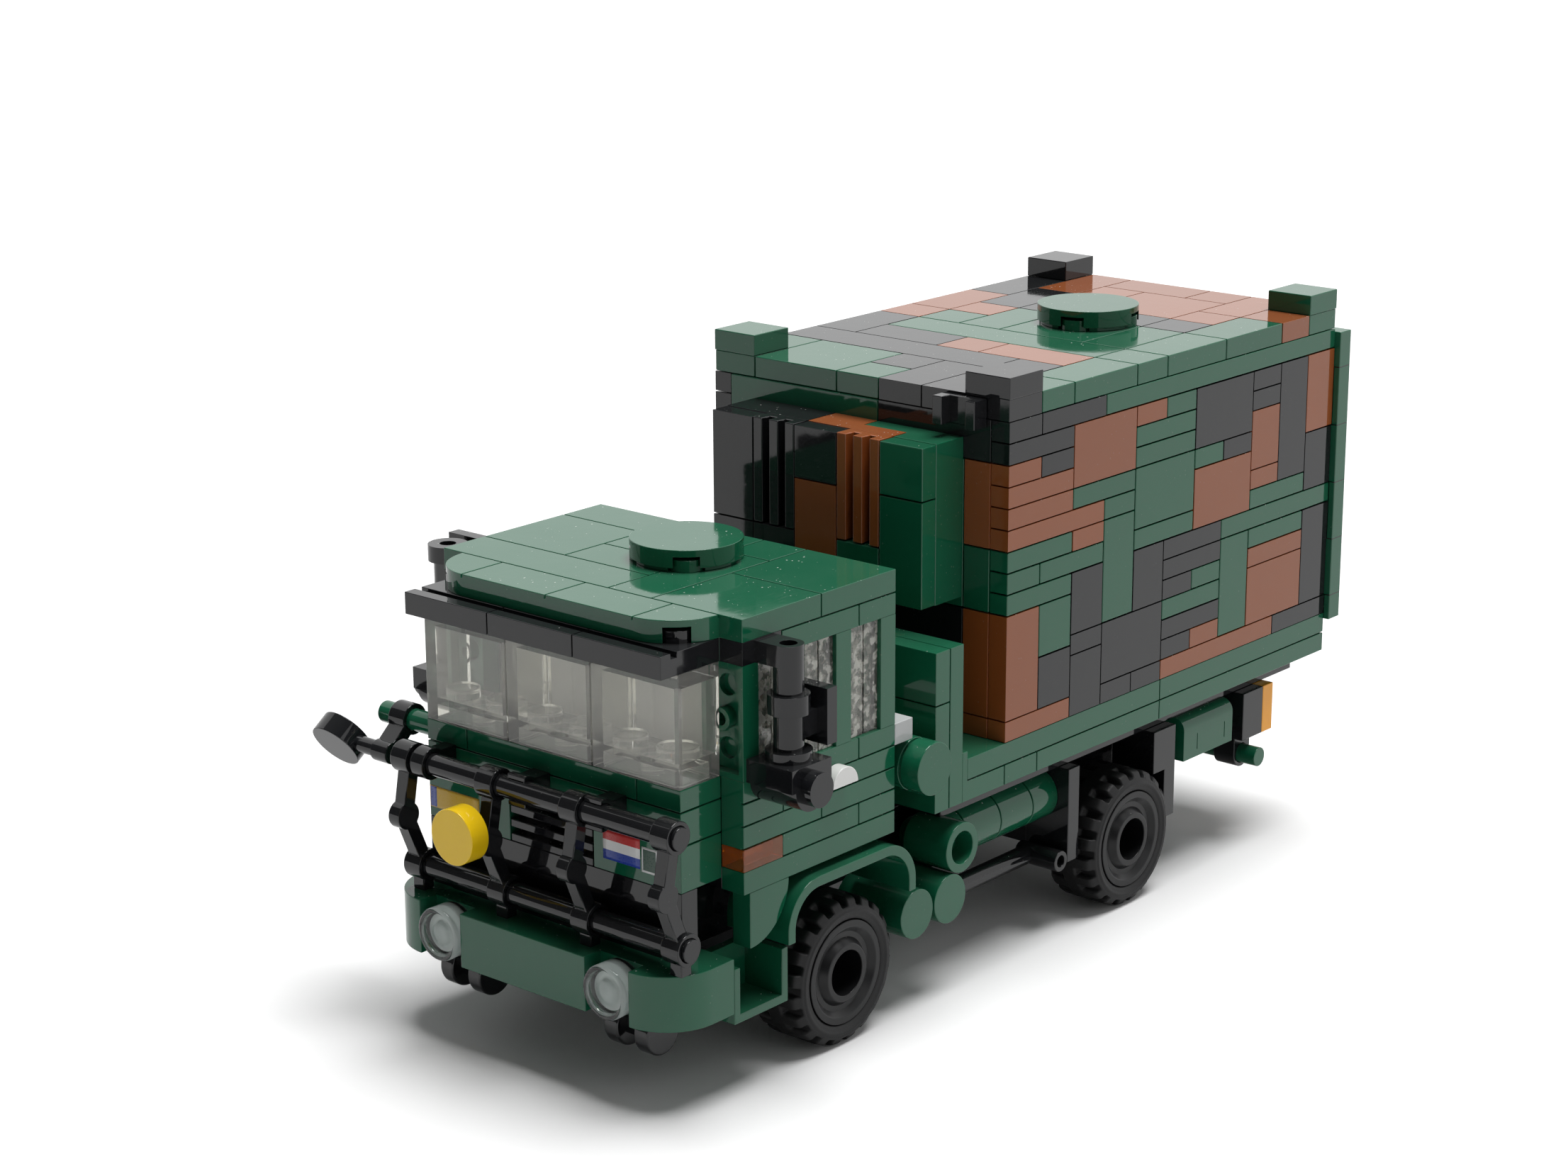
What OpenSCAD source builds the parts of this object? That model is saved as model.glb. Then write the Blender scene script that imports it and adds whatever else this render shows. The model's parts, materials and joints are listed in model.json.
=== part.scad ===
// Toy military box truck built of interlocking plastic bricks.
// Lengths are in millimetres. The front of the truck looks along -Y, +X is the truck's left side.

/* [Brick system] */
// Distance between two studs
stud = 8; // [7.6:0.1:8.4]
// Height of one plate or tile
plate_h = 3.2; // [3:0.05:3.4]
// Diameter of a stud
stud_d = 4.8; // [4:0.1:5.4]
// Height of a stud
stud_h = 1.7; // [1.2:0.1:2]
// Width of the seam between two bricks
seam = 0.2; // [0.1:0.02:0.4]
// Depth of the seam cut into a fused layer
seam_depth = 0.5; // [0.2:0.1:0.8]

/* [Wheels] */
// Radius over the tips of the tyre lugs
tyre_r = 10.8; // [10:0.1:11.6]
// Width of the tyre
tyre_w = 9.6; // [9:0.1:10.4]
// Radius of the tyre's seat on the rim
rim_r = 7.6; // [7:0.1:8.2]
// Radius of the ring around the hub
hub_r = 4.2; // [3.9:0.1:5]
// Radius of the open hub recess
hub_recess_r = 3.3; // [2.9:0.1:3.7]
// Depth of the open hub recess
hub_recess_d = 4.8; // [3:0.1:5.2]
// Depth of the dish between hub and rim edge
dish_d = 0.8; // [0.3:0.1:1.4]
// Width of the rim's edge ring
rim_edge = 1; // [0.6:0.1:1.6]
// Radius of the axle pin
pin_r = 2.4; // [1.8:0.1:2.6]
// Length of the axle pin inside the wheel
pin_l = 3.4; // [2.4:0.1:3.8]
// Radial play of the wheel on its pin
pin_play = 0.05; // [0.02:0.01:0.1]
// Distance of the front axle ahead of the cab's back
axle_lead = 10.4; // [9:0.1:12]
// Distance between the front and the rear axle
wheelbase = 69.6; // [66:0.4:74]
// Number of lugs around the tyre
lug_count = 20; // [14:1:26]
// Depth of the gaps between the lugs
lug_d = 1.1; // [0.6:0.1:1.6]
// Reach of the lugs in from the tyre's side
lug_reach = 3.4; // [2.4:0.1:4]

/* [Chassis and bed] */
// Height of the deck above the floor
deck_z = 35.2; // [34.4:0.1:38]
// Width of the truck
truck_w = 56; // [54:0.5:60]
// Width of a chassis rail
rail_w = 8; // [7:0.5:9]
// Height of a chassis rail
rail_h = 8; // [7:0.2:8.6]
// Distance of a rail's outer face in from the truck's side
rail_inset = 12; // [11:0.5:14]
// Distance of the bed's front edge ahead of the container
bed_lead = 10; // [9:0.2:12]
// Height of the headboard above its foot
headboard_h = 24; // [20:0.5:28]
// Width of a mud flap
flap_w = 8; // [6:0.5:9]
// Height of a mud flap
flap_h = 15; // [12:0.2:17]
// Distance of a mud flap from the rear axle
flap_reach = 11.6; // [11.4:0.1:14]

/* [Cab] */
// Gap between the cab's back and the container's front
cab_gap = 25.6; // [24.8:0.2:30]
// Length of the cab behind the windscreen
cab_l = 32; // [30:0.5:36]
// Length of the nose ahead of the cab
nose_l = 8; // [7:0.2:10]
// Thickness of the cab's walls, and step of the nose in from the sides
cab_wall = 4; // [3:0.2:5]
// Height of the side walls below the windows
sill_h = 16; // [13:0.2:18]
// Height of the window opening
window_h = 16; // [14:0.2:19]
// Length of the door window
door_window_l = 16; // [12:0.2:17]
// Length of the rear side window
rear_window_l = 6.4; // [5:0.2:7]
// Thickness of the clear panels
glass_t = 1.4; // [1:0.1:2]
// Reach of the sun visor ahead of the windscreen
visor_reach = 3.4; // [2:0.2:5]
// Diameter of the round hatches
hatch_d = 16; // [12:0.5:18]

/* [Front] */
// Reach of the bumper ahead of the nose
bumper_reach = 6.4; // [5:0.2:8]
// Height of the bumper
bumper_h = 8; // [7:0.2:9]
// Height of the bumper's lower edge above the floor
bumper_z = 12.4; // [10:0.2:13]
// Width of a rounded end of the bumper
bumper_end_w = 8; // [7:0.2:9]
// Diameter of the headlamps
lamp_d = 8; // [6.5:0.1:8]
// Radius of the bull bar rods
rod_r = 1.6; // [1.2:0.1:1.8]
// Radial play of the rods in their eyes
rod_play = 0.05; // [0.02:0.01:0.1]
// Width of a bull bar arm
arm_w = 3.2; // [2.4:0.2:4]
// Diameter of the round yellow sign
sign_d = 8; // [6:0.2:9]

/* [Container] */
// Length of the container
box_l = 88; // [80:1:96]
// Height of the container up to its roof
box_h = 51.2; // [46:0.4:56]
// Thickness of the container's inner walls
box_wall = 3.2; // [2:0.2:4]
// Thickness of the tiles that face the walls
clad_t = 3.2; // [2.4:0.2:4]
// Width of the air conditioner
aircon_w = 40; // [34:0.5:44]
// Height of the air conditioner
aircon_h = 24; // [20:0.5:26]
// Depth of the air conditioner
aircon_d = 9.6; // [8:0.2:9.8]

/* [Hidden] */
$fn = 64;
over = 1;
half_w = truck_w / 2;
half_nose = half_w - cab_wall;
nose_w = half_nose * 2;

// Heights
bed_mid_z = deck_z - plate_h;
bed_low_z = bed_mid_z - plate_h;
sub_z = bed_low_z - plate_h;
rail_z = sub_z - rail_h;
axle_z = tyre_r;
cab_base_z = bed_low_z;
sill_z = cab_base_z + sill_h;
band_z = sill_z + window_h;
cab_roof_z = band_z + plate_h;
cab_top_z = cab_roof_z + plate_h;
bumper_top_z = bumper_z + bumper_h;
box_roof_z = deck_z + box_h;
box_tile_z = box_roof_z - plate_h;
box_beam_z = box_tile_z - box_wall;

// Places along the truck, with zero at the container's front
cab_back_y = -cab_gap;
cab_front_y = cab_back_y - cab_l;
nose_y = cab_front_y - nose_l;
bumper_y = nose_y - bumper_reach;
front_axle_y = cab_back_y - axle_lead;
rear_axle_y = front_axle_y + wheelbase;
headboard_y = -bed_lead - plate_h - plate_h;
door_y = box_l + plate_h;

// Wheels stand with their outer face in the truck's side plane
wheel_in_x = half_w - tyre_w;
wheel_gap = 0.5;
rail_out_x = half_w - rail_inset;
rail_in_x = rail_out_x - rail_w;

// Tyre lugs and axles
lug_gap_share = 0.8;
lug_stagger_share = 0.5;
axle_h = 7.2;
axle_l = 8;
saddle_l = 12;

// Chassis frame and bed
headboard_seam = 16;
bed_lip = 1.2;
// Seams of the bed's two layers, in columns of the container (of side_columns)
bed_low_seam_shares = [0, 1, 5];
bed_top_seam_shares = [5];
cross_l = 6;
cross_shares = [0.06, 0.36, 0.62, 0.96];
valance_t = 3.2;
rail_front_y = nose_y + valance_t;
rail_back_y = box_l - plate_h;

// Bumper and tow eyes
bumper_t = 3.2;
lamp_bay_w = 8;
bumper_end_l = 12.3;
bumper_mid_w = truck_w - (bumper_end_w + lamp_bay_w) * 2;
bumper_end_x = half_w - bumper_end_w;
bumper_back_y = bumper_y + bumper_end_l;
lamp_x = (bumper_mid_w / 2 + bumper_end_x) / 2;
lamp_t = 3.8;
lamp_rim = 0.7;
lamp_sink = 0.8;
tow_r = 2.6;
tow_hole_r = 1.4;
tow_w = 3.2;

// Bull bar
bar_top_drop = 4.4;
bar_low_rise = 3.8;
bar_top_reach = 4.4;
bar_low_reach = 2.6;
bar_mid_reach = 5.9;
bar_shift = 1.5;
bar_inset = 2.6;
eye_wall = 0.7;
pivot_r = 2;
rod_end = 0.5;
arm_link_w = 2.1;
sign_rise = 1.6;
bracket_h = 3.4;
clip_lap = 0.6;
// Ring and clips between nose and upper rod: first and last place across the nose's half width
bar_ring_shares = [-0.86, -0.76];
bar_clip_shares = [[-0.13, 0.005], [0.47, 0.6]];
bar_top_z = sill_z - bar_top_drop;
bar_low_z = bumper_top_z + bar_low_rise;
bar_top_y = nose_y - bar_top_reach;
bar_low_y = nose_y - bar_low_reach;
bar_mid_y = nose_y - bar_mid_reach;
bar_mid_z = (bar_top_z + bar_low_z) / 2;
eye_r = rod_r + eye_wall;
bar_half_l = (truck_w - bar_inset) / 2;
arm_outer_x = bar_half_l - rod_end - arm_w / 2;
arm_t = 2;
sign_t = plate_h;
sign_z = bar_mid_z + sign_rise;
sign_y = bar_mid_y - pivot_r - sign_t;

// Cab
nose_wall = 3.2;
panel_drop = 8;
nose_rise = 1.6;
panel_top_z = sill_z - panel_drop;
nose_low_z = cab_base_z + nose_rise;
nose_end_w = 8;
grille_w = 16;
slat_count = 3;
slat_share = 0.55;
pillar_l = plate_h;
b_pillar_y = cab_front_y + pillar_l + door_window_l;
c_pillar_y = b_pillar_y + pillar_l + rear_window_l;
glass_inset = 0.6;
pocket_inset = 0.8;
pocket_d = 1.6;
pocket_tube_r = 1.6;
pocket_tube_hole_r = 0.9;
dimple_r = 1.5;
dimple_d = 0.9;
dimple_set = 4.4;
screen_panels = 3;
screen_stud_shares = [0.25, 0.75];
screen_foot = 3.2;
screen_foot_hollow = 2.2;
screen_head = 2.4;
screen_tube_r = 1.6;
visor_groove = 1.2;
visor_groove_d = 0.8;
strip_r = stud;
notch_h = 2.2;
notch_play = 0.45;
roof_band_seam_share = 0.75;
// Seams along the roof: place across (of the half width), start along the cab
roof_length_seam_shares = [[0.43, 0], [0.145, 0], [-0.43, 0.25]];
// Seams across the roof: place along the cab, first and last place across (of the half width)
roof_cross_seam_shares = [
    [0.5, 0.43, 1], [0.75, 0.145, 0.43], [0.25, -1, 0.145], [0.5, -0.43, 0.145], [0.75, -1, -0.43]
];
// Where those seams come out in the roof's sides: side, place along the cab
roof_side_seam_shares = [[1, 0.5], [-1, 0.25], [-1, 0.75]];
hatch_x = 2;
hatch_y_share = 0.44;
hatch_lip = 0.6;
hatch_turn = -48;
box_hatch_turn = -73;
handle_t = 2;
handle_r = 2.7;
handle_drop = 5.1;
handle_y_share = 0.59;
// Upright seams of the side walls: share of the cab's length, first row, last row (of sill_rows)
seam_wall_shares = [[0.75, 1, 2], [0.5, 2, 3], [0.25, 3, 4], [0.75, 4, 5]];
sill_rows = 5;

// Mirrors
mirror_w = 8;
mirror_block_h = 6.5;
mirror_drop = 3.4;
mirror_set = 4.6;
mirror_block_z = sill_z - mirror_drop;
mirror_mid_z = mirror_block_z + mirror_block_h / 2;
mirror_y = cab_front_y + mirror_set;
mirror_post_x = half_w + mirror_w / 2;
post_r = 2.1;
post_drop = 0.2;
post_top_z = cab_roof_z - post_drop;
sleeve_r = 2.9;
sleeve_rise = 6.4;
sleeve_z = mirror_block_z + mirror_block_h + sleeve_rise;
sleeve_h = 2.7;
collar_h = 1.4;
collar_r = 3.2;
holder_h = 3.5;
holder_w = 3.6;
right_post_lift = 2.4;
right_plate_lift = 9.2;
post_hole_r = 1.2;
post_hole_d = 4;
mirror_plate_w = 7.2;
mirror_plate_t = 2;
mirror_plate_set = 3.6;
mirror_plate_rise = 1.6;
mirror_plate_z = mirror_block_z + mirror_block_h + mirror_plate_rise;
mirror_plate_h = 7.8;
front_bar_y = cab_front_y - nose_l / 2;
front_bar_drop = 2.7;
front_bar_z = sill_z - front_bar_drop;
front_bar_l = 13;
front_disc_d = 8;
front_disc_t = 3.2;
front_disc_tilt = -54;
front_disc_reach = 17.8;
front_arm_reach = 8.5;
front_disc_x = half_nose + front_disc_reach;
front_arm_x = half_nose + front_arm_reach;
front_arm_r = 1.2;
front_arm_dy = 4.4;
front_arm_dz = 4;

// Front mudguards and steps
guard_l = 27.8;
guard_round = 6.6;
guard_t = 1.5;
guard_drop = 1.1;
guard_h = 8.2;
guard_out = 1.2;
guard_pad_l = 16;
guard_z = cab_base_z - guard_drop;
guard_in_x = wheel_in_x - wheel_gap;
quarter_r = 8;
quarter_set = 1.2;
quarter_y = cab_front_y + quarter_set;
step_t = 1.2;
step_l = 11;
step_h = 8;
step_drop = 1.6;

// Side equipment
grey_l = 4;
grey_w = 10;
grey_in_x = half_w - grey_w;
drum_r = 3.9;
drum_out = 3;
drum_l = 13;
drum_y = headboard_y - drum_r;
drum_rise = 2.2;
drum_head = 3.2;
drum_neck_r = 3.5;
drum_z = deck_z + drum_rise;
drum_face_x = half_w + drum_out;
drum_neck_x = drum_face_x - drum_head;
drum_neck_l = 0.4;
bottle_r = 3.7;
bottle_rise = 4;
bottle_fore = 3.9;
bottle_aft = 3.8;
bottle_z = axle_z + bottle_rise;
bottle_ys = [headboard_y - bottle_fore, headboard_y + bottle_aft];
tank_r = 4;
tank_x = rail_out_x + tank_r;
tank_rise = 3.2;
tank_z = rail_z + tank_rise;
ring_r = 3.8;
ring_hole_r = 2.45;
ring_lead = 9.8;
ring_rise = 1.1;
ring_y = -ring_lead;
ring_z = tank_z + ring_rise;
ring_in_x = tank_x;
tank_seam_shares = [-0.04, 0.055, 0.146];
pipe_r = 1.5;
pipe_set = 4;
pipe_rise = 0.5;
pipe_x = rail_out_x + pipe_set;
pipe_z = axle_z + pipe_rise;
tube_r = 1.65;
tube_hole_r = 0.9;
tube_hole_d = 5;
flap_t = 2.8;
short_flap_t = 3.2;
short_flap_h = 6.9;
flap_inset = 2;
flap_out_x = half_w - flap_inset;
flap_front_y = rear_axle_y - flap_reach - flap_t;
locker_gap = 2.4;
locker_l = 14;
locker_h = 7;
locker_lid = 1.2;
locker_round = 2;
locker_seam_shares = [0.27, 0.83];
lamp_box_l = 5.8;
lamp_box_h = 8;
lamp_box_w = 8;
lamp_box_set = 34;
lamp_box_y = rear_axle_y + lamp_box_set;
rear_lamp_t = 3;
clip_arm_w = 4;
clip_arm_inset = 2;
rear_rod_set = 3.1;
rear_rod_drop = 3.2;
rear_rod_inset = 0.6;

// Container
casting_t = plate_h;
box_hatch_x = 3.6;
box_hatch_y_share = 0.605;
aircon_drop = 6.4;
aircon_z = box_roof_z - aircon_drop - aircon_h;
aircon_cols = 5;
slat_cols = 3;
slat_back = 1.2;
clip_inset = 7.8;
clip_x = half_w - clip_inset;
clip_w = 7.6;
clip_t = 3;
clip_h = 4.2;
clip_drop = 1.3;
clip_back_t = 1;
prong_w = 1.7;
door_lip = 1;
door_w = truck_w + door_lip * 2;
door_low = 1;
door_drop = 3.8;

// Facing tiles of the container, as shares of the wall that they cover.
// Side: first column, columns (of side_columns), first row, rows (of side_rows)
side_columns = 11;
side_rows = 15;
side_green_shares = [
    [3, 8, 14, 1], [5, 1, 13, 1], [4, 2, 12, 1], [4, 2, 11, 1], [4, 2, 8, 3], [4, 2, 7, 1], [2, 2, 10, 1],
    [3, 1, 9, 1], [3, 1, 4, 5], [0, 2, 8, 1], [0, 1, 7, 1], [1, 2, 7, 1], [0, 2, 6, 1], [1, 1, 3.5, 2.5],
    [6, 1, 4, 1], [5, 2, 3, 1], [6, 1, 10, 1], [8, 2, 7, 1], [7, 4, 6, 1], [7, 1, 1, 5], [8, 2, 5, 1]
];
side_brown_shares = [
    [2, 2, 11, 3], [4, 1, 13, 1], [10, 1, 10, 4], [0, 1, 12, 1], [0, 2, 11, 1], [0, 2, 10, 1], [0, 3, 9, 1],
    [2, 1, 8, 1], [0, 1, 1, 5], [0, 2, 0, 1], [6, 1, 1, 1], [5, 4, 0, 1], [6, 2, 7, 3], [8, 1, 9, 3],
    [8, 1, 8, 1], [8, 2, 4, 1], [8, 2, 1, 3]
];
side_black_shares = [
    [0, 1, 14, 1], [1, 2, 14, 1], [0, 2, 13, 1], [6, 2, 11, 3], [8, 1, 13, 1], [8, 1, 12, 1], [9, 1, 8, 6],
    [1, 1, 12, 1], [2, 1, 4, 3], [2, 1, 3, 1], [2, 1, 0, 3], [4, 1, 4, 3], [3, 2, 1, 3], [3, 1, 0, 1],
    [4, 1, 0, 1], [1, 1, 1, 2.5], [5, 2, 6, 1], [5, 2, 5, 1], [5, 1, 4, 1], [5, 2, 2, 1], [5, 1, 1, 1],
    [9, 2, 0, 1], [7, 1, 10, 1], [10, 1, 7, 3], [10, 1, 1, 5]
];
// Roof: first column, columns (of side_columns), first row, rows (of cross_columns, from the right side)
cross_columns = 7;
roof_green_shares = [
    [0, 1, 0, 1], [1, 1, 0, 1], [0, 2, 1, 2], [0, 1, 3, 1], [4, 1, 1, 5], [5, 1, 1, 1], [5, 2, 2, 1],
    [5, 2, 3, 2], [5, 2, 5, 1], [7, 1, 3, 1], [1, 1, 6, 1], [2, 2, 6, 1], [4, 1, 6, 1], [5, 2, 6, 1],
    [7, 2, 6, 1], [10, 1, 6, 1]
];
roof_brown_shares = [
    [5, 1, 0, 1], [6, 2, 0, 1], [6, 1, 1, 1], [9, 2, 1, 1], [8, 2, 2, 1], [10, 1, 2, 2], [3, 1, 3, 1],
    [8, 2, 3, 2], [3, 1, 4, 2], [10, 1, 4, 1], [8, 1, 5, 1], [9, 2, 5, 1], [9, 1, 6, 1]
];
roof_black_shares = [
    [2, 1, 0, 5], [3, 2, 0, 1], [8, 2, 0, 1], [10, 1, 0, 1], [3, 1, 1, 2], [7, 2, 1, 1], [7, 1, 2, 1],
    [1, 1, 3, 1], [0, 2, 4, 1], [7, 1, 4, 1], [0, 3, 5, 1], [7, 1, 5, 1], [0, 1, 6, 1]
];
// Front: first column, columns (of cross_columns, from the right side), first row, rows (of side_rows)
front_green_shares = [[0, 4, 13, 2], [0, 6, 6, 7], [6, 1, 6, 3], [0, 3, 0, 6]];
front_brown_shares = [[6, 1, 9, 4], [6, 1, 1, 5], [6, 1, 0, 1]];
front_black_shares = [[4, 3, 13, 2], [3, 3, 0, 6]];
// Air conditioner: column (of aircon_cols, from the right side), first third, thirds of its height
aircon_thirds = 3;
aircon_green_shares = [[3, 0, 1], [4, 0, 2], [4, 2, 1]];
aircon_brown_shares = [[2, 0, 2]];
aircon_black_shares = [[0, 0, 1], [0, 1, 2], [1, 0, 1], [2, 2, 1]];
// Layers behind that front: layer, first column, columns
layer_green_shares = [[1, 4, 1], [2, 3, 2]];
layer_brown_shares = [[1, 2, 2], [2, 2, 1]];
layer_black_shares = [[1, 0, 2], [2, 0, 2]];

// The part's frame has its origin under the middle of its box
left_reach = half_w + mirror_w + stud_h;
right_reach = front_disc_x + front_disc_d / 2;
mid_x = (left_reach - right_reach) / 2;
mid_y = (door_y + sign_y) / 2;

green = "#1d4b35";
brown = "#7a3f27";
black = "#1c1d20";
clear = "#d9dcd3";

module placed() {
    translate([-mid_x, -mid_y, 0]) children();
}

// A block between two corners given as ranges
module block(xs, ys, zs) {
    translate([xs[0], ys[0], zs[0]]) cube([xs[1] - xs[0], ys[1] - ys[0], zs[1] - zs[0]]);
}

// The same piece on both sides of the truck
module both_sides() {
    children();
    mirror([1, 0, 0]) children();
}

// A cylinder along X from x0 to x1
module along_x(r, x0, x1, y, z) {
    translate([x0, y, z]) rotate([0, 90, 0]) cylinder(r = r, h = x1 - x0);
}

// A cylinder along Y from y0 to y1
module along_y(r, x, y0, y1, z) {
    translate([x, y1, z]) rotate([90, 0, 0]) cylinder(r = r, h = y1 - y0);
}

// A flat outline in the YZ plane, given thickness along X
module side_outline(x0, x1) {
    translate([x0, 0, 0]) rotate([90, 0, 90]) linear_extrude(x1 - x0) children();
}

// A straight bar of an outline between two points
module link(a, b, t) {
    d = b - a;
    translate(a) rotate(atan2(d[1], d[0])) translate([0, -t / 2]) square([norm(d), t]);
}

module chassis_frame() {
    rail_l = rail_back_y - rail_front_y;
    color(black) union() {
        both_sides() block([rail_in_x, rail_out_x], [rail_front_y, rail_back_y], [rail_z, sub_z]);
        for (share = cross_shares) {
            y = rail_front_y + rail_l * share;
            block([-rail_in_x - over, rail_in_x + over], [y - cross_l / 2, y + cross_l / 2],
                [rail_z, sub_z]);
        }
    }
}

module axle(y) {
    beam_x = wheel_in_x - wheel_gap;
    color(black) union() {
        block([-beam_x, beam_x], [y - axle_l / 2, y + axle_l / 2],
            [axle_z - axle_h / 2, axle_z + axle_h / 2]);
        block([-rail_out_x, rail_out_x], [y - saddle_l / 2, y + saddle_l / 2], [axle_z, rail_z]);
        along_x(pin_r, -wheel_in_x - pin_l, wheel_in_x + pin_l, y, axle_z);
    }
}
module front_axle() { axle(front_axle_y); }
module rear_axle() { axle(rear_axle_y); }

module sub_frame() {
    mount_y = cab_front_y + pillar_l;
    color(black) {
        block([-half_nose, half_nose], [-bed_lead, rail_back_y], [sub_z, bed_low_z]);
        block([-rail_out_x, rail_out_x], [mount_y, cab_back_y], [sub_z, bed_low_z]);
    }
}

module bed_lower() {
    color(green) difference() {
        union() {
            block([-half_w, half_w], [-bed_lead, box_l], [bed_low_z, bed_mid_z]);
            both_sides()
                block([half_nose, half_w], [-bed_lead, bed_lip - bed_lead], [bed_low_z, deck_z + bed_lip]);
        }
        bed_seams(bed_low_seam_shares, bed_low_z);
        both_sides() block([half_w - seam_depth, half_w + over], [bed_lip - bed_lead, box_l + over],
            [bed_mid_z - seam, bed_mid_z + over]);
    }
}

// Upright seams in both side faces of one layer of the bed
module bed_seams(shares, z) {
    for (share = shares) {
        y = box_l * share / side_columns;
        both_sides() block([half_w - seam_depth, half_w + over], [y, y + seam],
            [z - over, z + plate_h + over]);
    }
}

module bed_upper() {
    color(green) difference() {
        block([-half_w, half_w], [bed_lip - bed_lead, box_l], [bed_mid_z, deck_z]);
        bed_seams(bed_top_seam_shares, bed_mid_z);
    }
}

module headboard() {
    foot_z = bed_low_z;
    groove_y = headboard_y + plate_h;
    color(green) difference() {
        block([-half_w, half_w], [headboard_y, -bed_lead], [foot_z, foot_z + headboard_h]);
        both_sides() block([half_w - seam_depth, half_w + over], [groove_y, groove_y + seam],
            [foot_z - over, foot_z + headboard_h + over]);
        block([-half_w - over, half_w + over], [groove_y, groove_y + seam],
            [foot_z + headboard_h - seam_depth, foot_z + headboard_h + over]);
        block([-half_w - over, half_w + over], [headboard_y - over, headboard_y + seam_depth],
            [foot_z + headboard_seam, foot_z + headboard_seam + seam]);
        both_sides() block([half_w - seam_depth, half_w + over], [headboard_y - over, groove_y],
            [foot_z + headboard_seam, foot_z + headboard_seam + seam]);
    }
}

// Wheels turn about X and are drawn with their inner face at zero
module wheel_at(side, y) {
    mirror([side < 0 ? 1 : 0, 0, 0]) translate([wheel_in_x, y, axle_z]) rotate([0, 90, 0]) children();
}

module rim() {
    bore = pin_r + pin_play;
    face = tyre_w - seam;
    web = tyre_w - hub_recess_d;
    edge_r = rim_r - rim_edge;
    color(black) rotate_extrude() polygon([
        [bore, 0], [rim_r, 0], [rim_r, face], [edge_r, face], [edge_r - dish_d, face - dish_d],
        [hub_r + dish_d, face - dish_d], [hub_r, tyre_w], [hub_recess_r, tyre_w], [hub_recess_r, web],
        [0, web], [0, pin_l + pin_play], [bore, pin_l + pin_play]
    ]);
}

module tyre() {
    seat = rim_r + pin_play;
    shoulder = lug_d;
    step = 360 / lug_count;
    gap = tyre_r * sin(step / 2) * lug_gap_share;
    color("#202124") difference() {
        rotate_extrude() polygon([
            [seat, 0], [tyre_r - shoulder, 0], [tyre_r, shoulder], [tyre_r, tyre_w - shoulder],
            [tyre_r - shoulder, tyre_w], [seat, tyre_w]
        ]);
        for (i = [0 : lug_count - 1]) {
            rotate(i * step) translate([tyre_r - lug_d, -gap / 2, tyre_w - lug_reach])
                cube([lug_d + over, gap, lug_reach + over]);
            rotate((i + lug_stagger_share) * step) translate([tyre_r - lug_d, -gap / 2, -over])
                cube([lug_d + over, gap, lug_reach + over]);
        }
    }
}

module rim_fl() { wheel_at(1, front_axle_y) rim(); }
module rim_fr() { wheel_at(-1, front_axle_y) rim(); }
module rim_rl() { wheel_at(1, rear_axle_y) rim(); }
module rim_rr() { wheel_at(-1, rear_axle_y) rim(); }
module tyre_fl() { wheel_at(1, front_axle_y) tyre(); }
module tyre_fr() { wheel_at(-1, front_axle_y) tyre(); }
module tyre_rl() { wheel_at(1, rear_axle_y) tyre(); }
module tyre_rr() { wheel_at(-1, rear_axle_y) tyre(); }

module valance() {
    tow_y = nose_y + valance_t / 2;
    tow_z = bumper_z - tow_r;
    color(black) {
        difference() {
            union() {
                block([-half_nose, half_nose], [nose_y, rail_front_y], [bumper_top_z, nose_low_z]);
                block([-bumper_end_x, bumper_end_x], [nose_y, rail_front_y],
                    [bumper_z, bumper_top_z + over]);
                both_sides() translate([lamp_x, 0, 0]) {
                    along_x(tow_r, -tow_w / 2, tow_w / 2, tow_y, tow_z);
                    block([-tow_w / 2, tow_w / 2], [nose_y, rail_front_y], [tow_z, bumper_z + over]);
                }
            }
            both_sides() along_x(tow_hole_r, lamp_x - tow_w, lamp_x + tow_w, tow_y, tow_z);
        }
    }
}

module bumper() {
    color(green) union() {
        block([-half_nose, half_nose], [bumper_y + bumper_t, nose_y], [bumper_z, bumper_top_z]);
        block([-bumper_mid_w / 2, bumper_mid_w / 2], [bumper_y, nose_y], [bumper_z, bumper_top_z]);
        both_sides() translate([bumper_end_x, bumper_y + bumper_end_w, bumper_z]) {
            intersection() {
                cylinder(r = bumper_end_w, h = bumper_h);
                translate([0, -bumper_end_w, 0]) cube([bumper_end_w, bumper_end_w, bumper_h]);
            }
            cube([bumper_end_w, bumper_back_y - bumper_y - bumper_end_w, bumper_h]);
        }
    }
}

module headlamps() {
    r = lamp_d / 2 - seam / 2;
    z = bumper_z + bumper_h / 2;
    color(clear) both_sides() translate([lamp_x, bumper_y + bumper_t, z]) rotate([90, 0, 0])
        rotate_extrude() polygon([[0, 0], [r, 0], [r, lamp_t], [r - lamp_rim, lamp_t],
            [r - lamp_rim, lamp_t - lamp_sink], [0, lamp_t - lamp_sink]]);
}

module bull_bar_rods() {
    color(black) for (p = [[bar_top_y, bar_top_z], [bar_low_y, bar_low_z]])
        along_x(rod_r, bar_shift - bar_half_l, bar_shift + bar_half_l, p[0], p[1]);
}

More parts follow.
